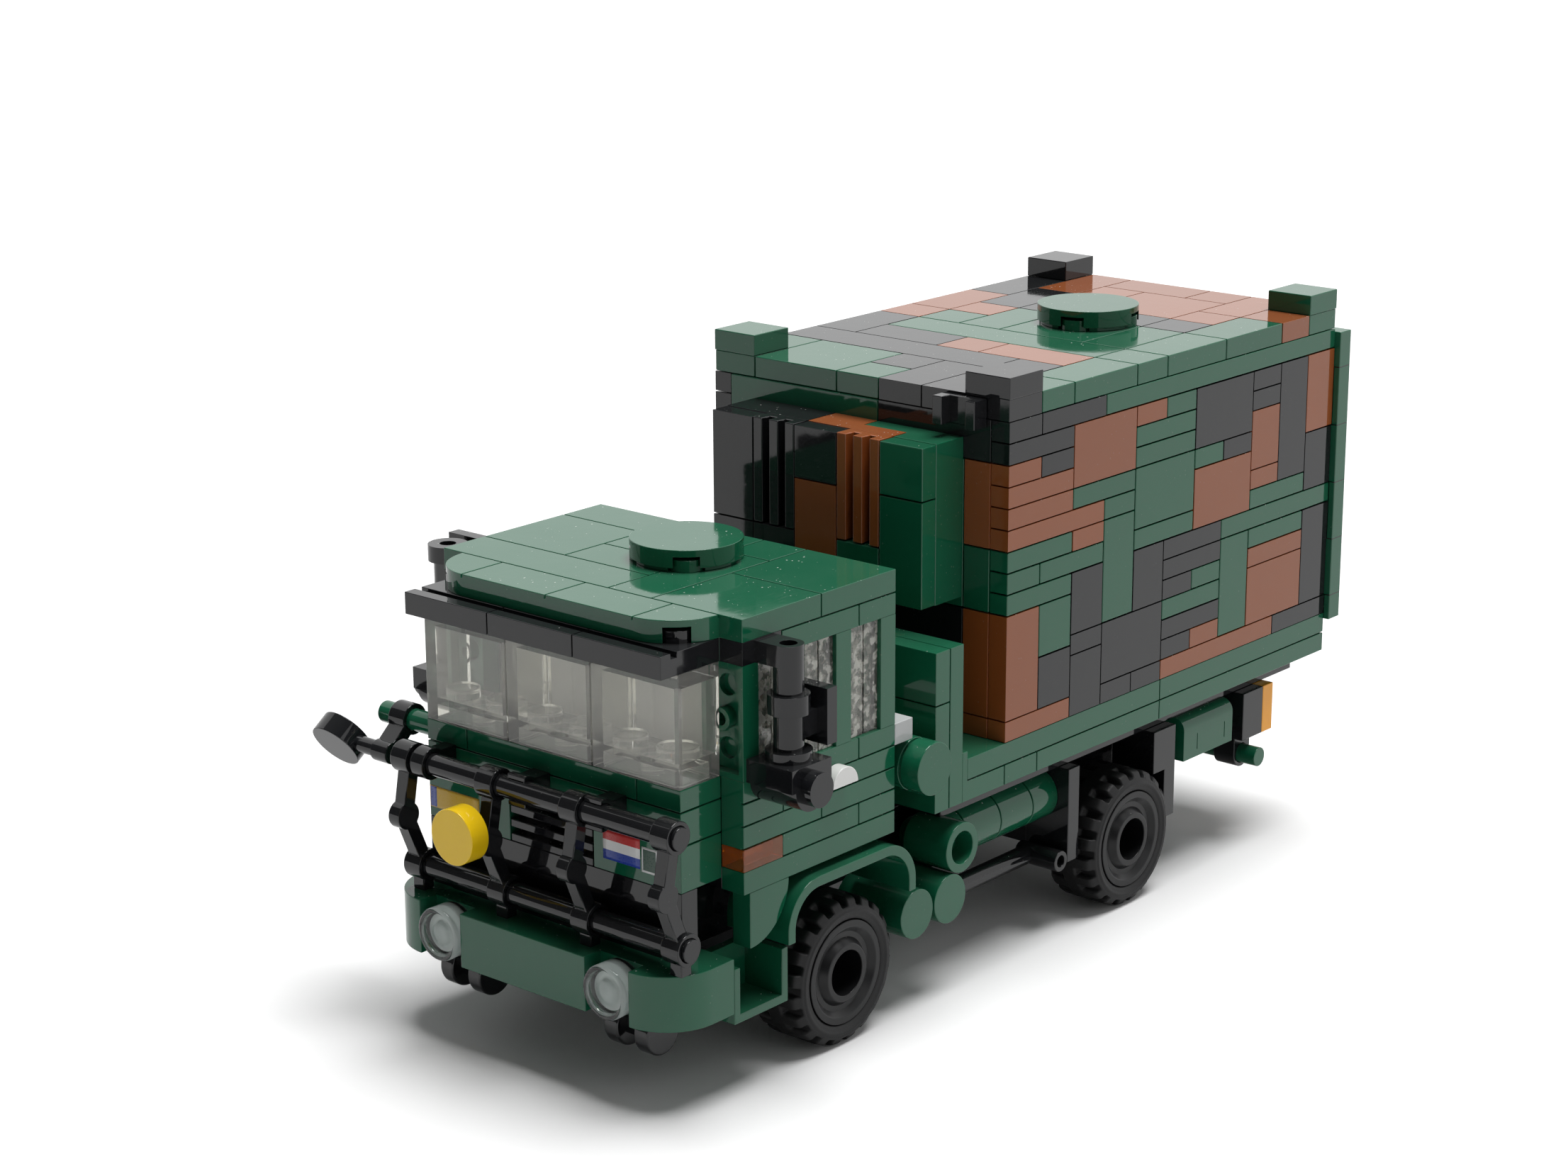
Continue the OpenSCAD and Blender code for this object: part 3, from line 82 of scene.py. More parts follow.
class NodeTree:
    """The node tree of a material or a world, with short calls for adding and joining nodes."""

    def __init__(self, owner: bpy.types.Material | bpy.types.World) -> None:
        """Start the owner's tree empty."""
        owner.use_nodes = True
        self.owner = owner
        self.tree = owner.node_tree
        self.tree.nodes.clear()

    @classmethod
    def material(cls, name: str) -> "NodeTree":
        """The empty tree of a new material."""
        return cls(bpy.data.materials.new(name))

    def add(self, kind: str, inputs: dict | None = None, **props: object) -> bpy.types.Node:
        """Add a node.

        Args:
            kind: the node's type name without its ShaderNode prefix.
            inputs: values or sockets by input name or index.
            props: settings of the node.

        Returns:
            The new node.
        """
        node = self.tree.nodes.new("ShaderNode" + kind)
        for key, value in props.items():
            setattr(node, key, value)
        for key, value in (inputs or {}).items():
            if isinstance(value, bpy.types.NodeSocket):
                self.tree.links.new(value, node.inputs[key])
            else:
                node.inputs[key].default_value = value
        return node

    def math(self, operation: str, a: object, b: object = 0.0, clamp: bool = False) -> bpy.types.NodeSocket:
        """Join two numbers with a Math node and give its result."""
        return self.add("Math", {0: a, 1: b}, operation=operation, use_clamp=clamp).outputs[0]

    def ramp(self, value: object, span: Span) -> bpy.types.NodeSocket:
        """Ease a number smoothly from 0 at the span's start to 1 at its end."""
        node = self.add("MapRange", {"Value": value, "From Min": span[0], "From Max": span[1]},
                        interpolation_type="SMOOTHSTEP")
        return node.outputs["Result"]

    def mix(self, share: object, a: object, b: object) -> bpy.types.NodeSocket:
        """Mix two colours by a share and give the result."""
        return self.add("Mix", {0: share, 6: a, 7: b}, data_type="RGBA").outputs[2]

    def noise(self, place: bpy.types.NodeSocket, scale: float, detail: float) -> bpy.types.NodeSocket:
        """Noise over a place, as a number about one half."""
        return self.add("TexNoise", {"Vector": place, "Scale": scale, "Detail": detail}).outputs[0]

    def finish(self, surface: bpy.types.NodeSocket) -> bpy.types.Material | bpy.types.World:
        """Join the surface to the owner's output and give the owner."""
        kind = "OutputWorld" if isinstance(self.owner, bpy.types.World) else "OutputMaterial"
        self.add(kind, {"Surface": surface})
        return self.owner


def rgba(colour: Colour, factor: float = 1.0) -> tuple[float, float, float, float]:
    """A colour made lighter or darker by a factor, with full opacity."""
    return (*(min(1.0, channel * factor) for channel in colour), 1.0)


@dataclass(frozen=True)
class MouldedPlastic:
    """Glossy opaque plastic: tone by brick, the mould's faint ripple, hairline scratches, and dust on top."""

    name: str
    colour: Colour
    roughness: float = 0.055
    ior: float = 1.52
    tone_spread: float = 0.08
    tone_share: float = 0.7
    cloud_scale: float = 105.0
    ripple: float = 0.03
    ripple_depth: float = 0.2 * MM
    ripple_scale: float = 420.0
    scratch_scale: float = 2600.0
    scratch_stretch: Place = (1.0, 0.12, 1.0)
    scratch_span: Span = (0.50, 0.80)
    scratch_roughness: float = 0.05
    dust: float = 0.85
    dust_colour: Colour = (0.62, 0.64, 0.60)
    dust_roughness: float = 0.5
    dust_upright: float = 0.08
    dust_level_span: Span = (0.55, 0.95)
    speck_scale: float = 1250.0
    speck_size: float = 0.17
    patch_scale: float = 130.0
    patch_span: Span = (0.40, 0.62)
    film: float = 0.05
    film_scale: float = 90.0
    joints: Span | None = None
    joint_gap: float = 0.10 * MM
    joint_shade: float = 0.12

    def material(self) -> bpy.types.Material:
        """Build the finish and give it."""
        t = NodeTree.material(self.name)
        place = t.add("TexCoord").outputs["Object"]
        tone = t.add("Attribute", attribute_name="tone").outputs["Fac"]
        cloud = t.noise(place, self.cloud_scale, detail=3.0)
        share = t.math("ADD", t.math("MULTIPLY", tone, self.tone_share),
                       t.math("MULTIPLY", cloud, 1.0 - self.tone_share))
        base = t.mix(share, rgba(self.colour, 1.0 - self.tone_spread), rgba(self.colour, 1.0 + self.tone_spread))
        if self.joints:
            base = t.mix(self.joint_lines(t, place), base, rgba(self.colour, self.joint_shade))
        stretched = t.add("Mapping", {"Vector": place, "Scale": self.scratch_stretch}).outputs[0]
        scratch = t.ramp(t.noise(stretched, self.scratch_scale, detail=2.0), self.scratch_span)
        rough = t.math("ADD", t.math("MULTIPLY", scratch, self.scratch_roughness), self.roughness)
        if self.dust:
            dusty = self.dusting(t, place)
            base = t.mix(dusty, base, rgba(self.dust_colour))
            rough = t.math("ADD", rough, t.math("MULTIPLY", dusty, self.dust_roughness), clamp=True)
        ripple = t.add("Bump", {"Strength": self.ripple, "Distance": self.ripple_depth,
                                "Height": t.noise(place, self.ripple_scale, detail=1.0)})
        bsdf = t.add("BsdfPrincipled", {"Base Color": base, "Roughness": rough, "IOR": self.ior,
                                        "Normal": ripple.outputs[0]})
        return t.finish(bsdf.outputs[0])

    def joint_lines(self, t: NodeTree, place: bpy.types.NodeSocket) -> bpy.types.NodeSocket:
        """Lines between bricks of the joints' length and height on an upright face across the truck, as 0 or 1."""
        upright = t.add("Mapping", {"Vector": place, "Rotation": (-np.pi / 2.0, 0.0, 0.0)}).outputs[0]
        rows = t.add("TexBrick", {"Vector": upright, "Scale": 1.0, "Mortar Size": self.joint_gap,
                                  "Brick Width": self.joints[0], "Row Height": self.joints[1]})
        return rows.outputs["Fac"]

    def dusting(self, t: NodeTree, place: bpy.types.NodeSocket) -> bpy.types.NodeSocket:
        """Share of dust: round specks of many sizes and a thin film, thick on level faces and thin on upright ones.

        Args:
            t: the finish's node tree.
            place: the place on the piece.

        Returns:
            A number from 0 for clean plastic to 1 for a speck.
        """
        cells = t.add("TexVoronoi", {"Vector": place, "Scale": self.speck_scale})
        chance = t.add("SeparateColor", {0: cells.outputs["Color"]}).outputs[0]
        size = t.math("MULTIPLY", t.math("MULTIPLY", chance, chance), self.speck_size)
        patchy = t.ramp(t.noise(place, self.patch_scale, detail=2.0), self.patch_span)
        specks = t.math("MULTIPLY", t.math("LESS_THAN", cells.outputs["Distance"], size), patchy)
        film = t.math("MULTIPLY", t.noise(place, self.film_scale, detail=4.0), self.film)
        up = t.add("SeparateXYZ", {0: t.add("NewGeometry").outputs["Normal"]}).outputs[2]
        level = t.math("MULTIPLY", t.ramp(up, self.dust_level_span), 1.0 - self.dust_upright)
        lies = t.math("ADD", level, self.dust_upright)
        return t.math("MULTIPLY", lies, t.math("MULTIPLY", t.math("ADD", specks, film), self.dust), clamp=True)


@dataclass(frozen=True)
class ClearPlastic:
    """See-through plastic with a tint, a little haze, the ripple of its moulded back, and milky spots if mottled."""

    name: str
    tint: Colour
    through: float
    haze: float = 0.05
    ior: float = 1.5
    tint_span: Span = (0.94, 1.04)
    ripple: float = 0.10
    ripple_depth: float = 0.4 * MM
    ripple_scale: float = 300.0
    mottle: float = 0.0
    mottle_scale: float = 700.0
    mottle_span: Span = (0.46, 0.62)

    def material(self) -> bpy.types.Material:
        """Build the finish and give it."""
        t = NodeTree.material(self.name)
        place = t.add("TexCoord").outputs["Object"]
        cloud = t.noise(place, self.ripple_scale, detail=2.0)
        base = t.mix(cloud, rgba(self.tint, self.tint_span[0]), rgba(self.tint, self.tint_span[1]))
        ripple = t.add("Bump", {"Strength": self.ripple, "Distance": self.ripple_depth, "Height": cloud})
        rough: object = 0.0
        if self.haze:
            rough = t.math("MULTIPLY", t.math("ADD", cloud, 1.0 - NOISE_MIDDLE), self.haze)
        through: object = self.through
        if self.mottle:
            spots = t.ramp(t.noise(place, self.mottle_scale, detail=3.0), self.mottle_span)
            through = t.math("SUBTRACT", self.through, t.math("MULTIPLY", spots, self.mottle), clamp=True)
        bsdf = t.add("BsdfPrincipled", {"Base Color": base, "Roughness": rough, "IOR": self.ior,
                                        "Transmission Weight": through, "Normal": ripple.outputs[0]})
        return t.finish(bsdf.outputs[0])


@dataclass(frozen=True)
class Rubber:
    """Matte dark rubber with a fine grain and cloudy tone."""

    name: str
    colour: Colour
    roughness: float = 0.46
    roughness_spread: float = 0.16
    ior: float = 1.42
    tone_span: Span = (0.75, 1.35)
    cloud_scale: float = 160.0
    grain: float = 0.22
    grain_depth: float = 0.1 * MM
    grain_scale: float = 3200.0

    def material(self) -> bpy.types.Material:
        """Build the finish and give it."""
        t = NodeTree.material(self.name)
        place = t.add("TexCoord").outputs["Object"]
        cloud = t.noise(place, self.cloud_scale, detail=3.0)
        base = t.mix(cloud, rgba(self.colour, self.tone_span[0]), rgba(self.colour, self.tone_span[1]))
        rough = t.math("ADD", t.math("MULTIPLY", cloud, self.roughness_spread), self.roughness)
        bump = t.add("Bump", {"Strength": self.grain, "Distance": self.grain_depth,
                              "Height": t.noise(place, self.grain_scale, detail=2.0)})
        bsdf = t.add("BsdfPrincipled", {"Base Color": base, "Roughness": rough, "IOR": self.ior,
                                        "Normal": bump.outputs[0]})
        return t.finish(bsdf.outputs[0])


@dataclass(frozen=True)
class Print:
    """A printed patch in bands inside a frame: each band starts at a share of the patch's width or height."""

    name: str
    bands: tuple[tuple[float, Colour], ...]
    upright: bool
    frame_share: Span = (0.0, 0.0)
    frame_colour: Colour = (0.8, 0.8, 0.78)
    roughness: float = 0.22
    roughness_spread: float = 0.15
    grain: float = 0.12
    grain_colour: Colour = (0.35, 0.35, 0.35)
    grain_scale: float = 5000.0

    def material(self) -> bpy.types.Material:
        """Build the print from the patch's own UV map and give it."""
        t = NodeTree.material(self.name)
        coordinates = t.add("TexCoord").outputs
        uv = t.add("SeparateXYZ", {0: coordinates["UV"]}).outputs
        across = uv[1] if self.upright else uv[0]
        colour: object = rgba(self.bands[0][1])
        for start, tint in self.bands[1:]:
            colour = t.mix(t.math("GREATER_THAN", across, start), colour, rgba(tint))
        for axis, width in enumerate(self.frame_share):
            if width:
                from_middle = t.math("ABSOLUTE", t.math("SUBTRACT", uv[axis], 0.5))
                framed = t.math("GREATER_THAN", from_middle, 0.5 - width)
                colour = t.mix(framed, colour, rgba(self.frame_colour))
        grain = t.noise(coordinates["Object"], self.grain_scale, detail=2.0)
        colour = t.mix(t.math("MULTIPLY", grain, self.grain), colour, rgba(self.grain_colour))
        rough = t.math("ADD", t.math("MULTIPLY", grain, self.roughness_spread), self.roughness)
        return t.finish(t.add("BsdfPrincipled", {"Base Color": colour, "Roughness": rough}).outputs[0])


@dataclass(frozen=True)
class PaperFloor:
    """White paper that keeps the truck's soft shadow, a little darker in gloss and glass, and dimmer as a light."""

    name: str = "paper_floor"
    white: Colour = (0.88, 0.88, 0.88)
    mirrored: Colour = (0.69, 0.69, 0.69)
    bounce: Colour = (0.55, 0.55, 0.55)
    grain_shade: float = 0.985
    grain_scale: float = 900.0

    def material(self) -> bpy.types.Material:
        """Build the finish and give it."""
        t = NodeTree.material(self.name)
        path = t.add("LightPath").outputs
        glossy = t.math("MAXIMUM", path["Is Glossy Ray"], path["Is Transmission Ray"])
        grain = t.noise(t.add("TexCoord").outputs["Object"], self.grain_scale, detail=2.0)
        paper = t.mix(grain, rgba(self.white, self.grain_shade), rgba(self.white))
        base = t.mix(glossy, rgba(self.bounce), rgba(self.mirrored))
        base = t.mix(path["Is Camera Ray"], base, paper)
        return t.finish(t.add("BsdfDiffuse", {"Color": base}).outputs[0])


@dataclass(frozen=True)
class WhiteCurtain:
    """White curtain round the truck: plain white to the eye, in gloss and through glass, and dimmer as a light."""

    light: float
    name: str = "white_curtain"
    fold_shade: float = 0.995
    fold_scale: float = 3.0

    def material(self) -> bpy.types.Material:
        """Build the finish and give it."""
        t = NodeTree.material(self.name)
        path = t.add("LightPath").outputs
        glossy = t.math("MAXIMUM", path["Is Glossy Ray"], path["Is Transmission Ray"])
        seen = t.math("MAXIMUM", path["Is Camera Ray"], glossy)
        folds = t.noise(t.add("TexCoord").outputs["Object"], self.fold_scale, detail=1.0)
        tone = t.mix(folds, rgba(WHITE, self.fold_shade), rgba(WHITE))
        level = t.math("ADD", t.math("MULTIPLY", seen, 1.0 - self.light), self.light)
        return t.finish(t.add("Emission", {"Color": tone, "Strength": level}).outputs[0])


RIM = MouldedPlastic("rim_moulded", (0.0045, 0.0047, 0.0055), roughness=0.30, ior=1.40, dust=0.3)


class Finishes:
    """The finish of every opaque slot, and of the pieces that look unlike the rest of their slot or are clear."""

    BY_SLOT = {
        Slot.GREEN: MouldedPlastic("green_moulded", GREEN),
        Slot.BROWN: MouldedPlastic("brown_moulded", (0.285, 0.075, 0.018)),
        Slot.BLACK: MouldedPlastic("black_moulded", (0.0085, 0.0090, 0.0105), dust=0.5),
        Slot.GREY: MouldedPlastic("grey_moulded", (0.46, 0.47, 0.47)),
        Slot.WHITE: MouldedPlastic("white_moulded", (0.78, 0.78, 0.76), dust=0.2),
        Slot.YELLOW: MouldedPlastic("yellow_moulded", (1.00, 0.62, 0.010), dust=0.2),
        Slot.TYRE: Rubber("tyre_rubber", (0.0065, 0.0065, 0.0070)),
    }
    BY_PIECE = {
        "windscreen": ClearPlastic("screen_moulded", (0.98, 0.97, 0.91), through=0.87, haze=0.0, ripple=0.02),
        "side_windows": ClearPlastic("mottled_moulded", (0.84, 0.84, 0.76), through=0.92, ripple=0.4,
                                     ripple_scale=520.0, mottle=0.38),
        "headlamps": ClearPlastic("lamp_moulded", (0.93, 0.96, 0.95), through=0.97, haze=0.01, ripple=0.02),
        "headlamp_backs": MouldedPlastic("lamp_back", (0.40, 0.45, 0.43), roughness=0.3, dust=0.0),
        "corner_lamps": ClearPlastic("corner_amber", (0.98, 0.23, 0.01), through=0.82, haze=0.0, ripple=0.3),
        "rear_lamps": ClearPlastic("rear_amber", (1.00, 0.40, 0.01), through=0.0),
        "seat_back": MouldedPlastic("seat_moulded", (0.84, 0.84, 0.81), roughness=0.25, dust=0.0),
        "container_door": MouldedPlastic("door_moulded", GREEN, joints=(32.0 * MM, 9.6 * MM)),
        **{"rim_" + corner: RIM for corner in CORNERS},
    }

    def __init__(self) -> None:
        """Build every finish once."""
        finishes = [*self.BY_SLOT.values(), *self.BY_PIECE.values()]
        self.made = {finish: finish.material() for finish in dict.fromkeys(finishes)}

    def of(self, piece: str, slot: Slot) -> bpy.types.Material:
        """The material of one piece: its own where it has one, else its slot's."""
        return self.made[self.BY_PIECE.get(piece) or self.BY_SLOT[slot]]


def box(node: str) -> tuple[np.ndarray, np.ndarray]:
    """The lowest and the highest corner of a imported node."""
    low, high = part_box(node)
    return np.array(low), np.array(high)


def lamp_middles() -> tuple[Span, float]:
    """The places of both headlamps' axes across the truck, and the lamps' radius."""
    low, high = box("headlamps")
    radius = (high[2] - low[2]) / 2.0
    return (low[0] + radius, high[0] - radius), radius


def smoothstep(x: np.ndarray, low: float, high: float) -> np.ndarray:
    """Ease from 0 at low to 1 at high along a cubic."""
    t = np.clip((x - low) / (high - low), 0.0, 1.0)
    return t * t * (3.0 - 2.0 * t)


def unit_grid(rows: int, columns: int) -> tuple[np.ndarray, np.ndarray]:
    """Two parameters from 0 to 1 over a grid, the first along its rows and the second along its columns."""
    return np.meshgrid(np.linspace(0.0, 1.0, rows), np.linspace(0.0, 1.0, columns), indexing="ij")


def grid_faces(rows: int, columns: int, wrap_rows: bool = False, wrap_columns: bool = False) -> np.ndarray:
    """Quads of a grid whose point (i, j) has the number i * columns + j.

    Args:
        rows: points along the first parameter.
        columns: points along the second parameter.
        wrap_rows: whether the last row joins the first.
        wrap_columns: whether the last column joins the first.

    Returns:
        An array of four point numbers for each face.
    """
    i = np.arange(rows if wrap_rows else rows - 1)[:, None]
    j = np.arange(columns if wrap_columns else columns - 1)[None, :]
    i1, j1 = (i + 1) % rows, (j + 1) % columns
    corners = (i * columns + j, i1 * columns + j, i1 * columns + j1, i * columns + j1)
    return np.stack([np.broadcast_to(c, (i.size, j.size)) for c in corners], axis=-1).reshape(-1, 4)


def read(items: bpy.types.bpy_prop_collection, key: str, kind: type, width: int = 1) -> np.ndarray:
    """Read one setting of every item of a mesh.

    Args:
        items: the mesh's points, edges, faces or loops.
        key: the setting's name.
        kind: the array's number type.
        width: numbers for each item.

    Returns:
        A flat array, or one row for each item where it has several numbers.
    """
    values = np.empty(len(items) * width, kind)
    items.foreach_get(key, values)
    return values if width == 1 else values.reshape(-1, width)


def surface_object(name: str, points: np.ndarray, faces: np.ndarray,
                   uv: np.ndarray | None = None) -> bpy.types.Object:
    """Put an array of points and quads into a new smooth object at the origin.

    Args:
        name: the piece's name.
        points: one row of x, y, z for each point.
        faces: four point numbers for each face.
        uv: one row of u, v for each point, or nothing.

    Returns:
        The new object, linked to the scene.
    """
    mesh = bpy.data.meshes.new(name)
    mesh.from_pydata(points.reshape(-1, 3), [], faces)
    if uv is not None:
        layer = mesh.uv_layers.new(name="UVMap")
        vertex = read(mesh.loops, "vertex_index", np.int32)
        layer.data.foreach_set("uv", uv.reshape(-1, 2)[vertex].astype(np.float32).ravel())
    mesh.shade_smooth()
    mesh.update()
    piece = bpy.data.objects.new(name, mesh)
    bpy.context.scene.collection.objects.link(piece)
    return piece


def repeated_object(name: str, copies: list[np.ndarray], faces: np.ndarray) -> bpy.types.Object:
    """Put several arrays of points that share their quads into one new object."""
    copies = [points.reshape(-1, 3) for points in copies]
    shifted = [faces + number * len(copies[0]) for number in range(len(copies))]
    return surface_object(name, np.concatenate(copies), np.concatenate(shifted))


def thicken(piece: bpy.types.Object, thickness: float) -> None:
    """Give a sheet its thickness behind its face."""
    solid = piece.modifiers.new("sheet", "SOLIDIFY")
    solid.thickness = thickness
    solid.offset = -1.0


def dress(piece: bpy.types.Object, material: bpy.types.Material, slot: Slot, body: str, *nodes: str) -> None:
    """Give a piece its material and body, and hide the nodes that it stands for."""
    piece.data.materials.clear()
    piece.data.materials.append(material)
    if nodes:
        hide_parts(*nodes)
    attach(piece, body)
    LOG.info("%s rides on %s", piece.name, body)


@dataclass
class BrickShells:
    """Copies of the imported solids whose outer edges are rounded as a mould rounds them."""

    finishes: Finishes
    edge: float = 0.14 * MM
    segments: int = 2
    merge: float = 0.001 * MM
    flat: float = 0.02
    crease: float = 0.5
    tone_step: float = 12.9898
    tone_shift: float = 4.1
    tone_stretch: float = 43758.5453

    def build(self, node: str, slot: Slot, body: str) -> bpy.types.Object:
        """Make one node's copy, round it and dress it.

        Args:
            node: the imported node.
            slot: its material slot.
            body: the body that carries it.

        Returns:
            The new piece.
        """
        mesh = self.cleaned(node)
        self.mark_edges(mesh)
        self.mark_bricks(mesh)
        piece = bpy.data.objects.new(node + "_moulded", mesh)
        bpy.context.scene.collection.objects.link(piece)
        bevel = piece.modifiers.new("rounded_edges", "BEVEL")
        bevel.limit_method = "WEIGHT"
        bevel.width = self.edge
        bevel.segments = self.segments
        bevel.use_clamp_overlap = True
        bevel.harden_normals = True
        dress(piece, self.finishes.of(node, slot), slot, body, node)
        return piece

    def cleaned(self, node: str) -> bpy.types.Mesh:
        """Merge a copy's loose triangles and dissolve the edges inside flat faces."""
        work = bmesh.new()
        work.from_mesh(frame["nodes"][node].data)
        bmesh.ops.remove_doubles(work, verts=work.verts, dist=self.merge)
        bmesh.ops.dissolve_limit(work, angle_limit=self.flat, verts=work.verts, edges=work.edges)
        mesh = bpy.data.meshes.new(node + "_moulded")
        work.to_mesh(mesh)
        work.free()
        packed_normals = mesh.attributes.get("custom_normal")
        if packed_normals:
            mesh.attributes.remove(packed_normals)
        mesh.materials.clear()
        mesh.shade_smooth()
        return mesh

    def mark_edges(self, mesh: bpy.types.Mesh) -> None:
        """Weigh outer edges for rounding and crease inner ones.

        An edge is an outer one where the cross product of its two faces' normals runs with the edge as the
        first face goes round it.

        Args:
            mesh: the copy to mark.
        """
        vertex, edge = (read(mesh.loops, key, np.int32) for key in ("vertex_index", "edge_index"))
        start, total = (read(mesh.polygons, key, np.int32) for key in ("loop_start", "loop_total"))
        normal = read(mesh.polygons, "normal", np.float32, 3)
        point = read(mesh.vertices, "co", np.float32, 3)
        face = np.repeat(np.arange(len(total)), total)
        after = np.arange(len(vertex)) + 1
        after[start + total - 1] = start
        run = point[vertex[after]] - point[vertex]
        order = np.argsort(edge, kind="stable")
        ranked = edge[order]
        first = np.flatnonzero(ranked[:-1] == ranked[1:])
        one, two = order[first], order[first + 1]
        normal_one, normal_two = normal[face[one]], normal[face[two]]
        bend = np.arccos(np.clip((normal_one * normal_two).sum(1), -1.0, 1.0))
        outer = (np.cross(normal_one, normal_two) * run[one]).sum(1) > 0.0
        weight, sharp = np.zeros(len(mesh.edges), np.float32), np.zeros(len(mesh.edges), bool)
        weight[edge[one]] = (bend > self.crease) & outer
        sharp[edge[one]] = (bend > self.crease) & ~outer
        mesh.attributes.new("bevel_weight_edge", "FLOAT", "EDGE").data.foreach_set("value", weight)
        layer = mesh.attributes.get("sharp_edge") or mesh.attributes.new("sharp_edge", "BOOLEAN", "EDGE")
        layer.data.foreach_set("value", sharp)

    def mark_bricks(self, mesh: bpy.types.Mesh) -> None:
        """Give every brick of the copy a tone between 0 and 1.

        The lowest point number is passed along the edges until each brick has one number, and the tone is the
        broken part of a large sine of it.

        Args:
            mesh: the copy to mark.
        """
        ends = read(mesh.edges, "vertices", np.int32, 2)
        label = np.arange(len(mesh.vertices))
        while True:
            low = label[ends].min(1)
            fresh = label.copy()
            np.minimum.at(fresh, ends[:, 0], low)
            np.minimum.at(fresh, ends[:, 1], low)
            if np.array_equal(fresh, label):
                break
            label = fresh
        start = read(mesh.polygons, "loop_start", np.int32)
        brick = label[read(mesh.loops, "vertex_index", np.int32)[start]]
        tone = np.modf(np.abs(np.sin(brick * self.tone_step + self.tone_shift) * self.tone_stretch))[0]
        mesh.attributes.new("tone", "FLOAT", "FACE").data.foreach_set("value", tone.astype(np.float32))


@dataclass
class Tyre:
    """One lugged tyre: a closed profile carried round the axle, with gaps cut into both shoulders."""

    finishes: Finishes
    corner: str
    lugs: int = 20
    lug_depth: float = 1.1 * MM
    lug_reach: float = 3.4 * MM
    lug_ease: float = 0.25 * MM
    lug_gap: float = 0.40
    gap_mouth: float = 0.05
    gap_floor: float = 0.02
    steps: int = 24
    shoulder: float = 1.9 * MM
    tread_points: int = 24
    seat_radius: float = 7.66 * MM
    seat_inset: float = 1.2 * MM
    seat_points: int = 4

    def build(self) -> bpy.types.Object:
        """Make the tyre and dress it.

        The profile gives the distance along the axle and from the axle. Where a point lies over the floor of the
        lug gaps, its distance from the axle falls to that floor by the product of two eased steps: one round
        the tyre, at each gap, and one along the axle, from the shoulder inwards.

        Returns:
            The new piece.
        """
        node = "tyre_" + self.corner
        low, high = box(node)
        middle = (low + high) / 2.0
        width, radius = high[0] - low[0], (high[2] - low[2]) / 2.0
        outward = 1.0 if self.corner.endswith("l") else -1.0
        along, out = self.profile(width, radius)
        share = (np.arange(self.lugs * self.steps) / self.steps)[:, None]
        reach = self.lug_reach + self.lug_ease, self.lug_reach - self.lug_ease
        near, far = smoothstep(width - along, *reach)[None, :], smoothstep(along, *reach)[None, :]
        cut = np.maximum(self.gap(share) * near, self.gap(share - 0.5) * far)
        depth = np.maximum(out - (radius - self.lug_depth), 0.0)[None, :] * cut
        distance = out[None, :] - depth
        angle = FULL_TURN * share / self.lugs
        x = np.broadcast_to(middle[0] + outward * (along[None, :] - width / 2.0), distance.shape)
        points = np.stack([x, middle[1] + distance * np.sin(angle), middle[2] - distance * np.cos(angle)], axis=-1)
        faces = grid_faces(points.shape[0], points.shape[1], wrap_rows=True, wrap_columns=True)
        piece = surface_object(node + "_lugged", points, faces if outward > 0 else faces[:, ::-1])
        dress(piece, self.finishes.of(node, Slot.TYRE), Slot.TYRE, "wheel_" + self.corner, node)
        return piece

    def gap(self, share: np.ndarray) -> np.ndarray:
        """Depth of the gaps round the tyre, from 0 on a lug to 1 in a gap, at a share counted in lugs."""
        away = np.abs(share - np.round(share))
        return smoothstep(away, self.lug_gap / 2.0 + self.gap_mouth, self.lug_gap / 2.0 - self.gap_floor)

    def profile(self, width: float, radius: float) -> tuple[np.ndarray, np.ndarray]:
        """The tyre's closed outline: sidewall with a raised ring, shoulder, tread, and the seat on the rim.

        Args:
            width: the tyre's width.
            radius: the radius over its lugs.

        Returns:
            Distances along the axle from the inner face, and distances from the axle.
        """
        side = np.array([[0.55, 7.66], [0.30, 7.85], [0.16, 8.25], [0.10, 8.65], [0.00, 8.75], [0.00, 9.05],
                         [0.12, 9.15], [0.10, 9.45], [0.22, 9.70], [0.42, 9.95], [0.62, 10.30], [0.80, 10.55],
                         [1.05, 10.70], [1.40, 10.78]]) * MM
        tread_x = np.linspace(self.shoulder, width - self.shoulder, self.tread_points)
        tread = np.stack([tread_x, np.full_like(tread_x, radius)], axis=1)
        far_side = side[::-1] * (-1.0, 1.0) + (width, 0.0)
        seat_x = np.linspace(width - self.seat_inset, self.seat_inset, self.seat_points)
        seat = np.stack([seat_x, np.full_like(seat_x, self.seat_radius)], axis=1)
        outline = np.concatenate([side, tread, far_side, seat])
        return outline[:, 0], np.minimum(outline[:, 1], radius)


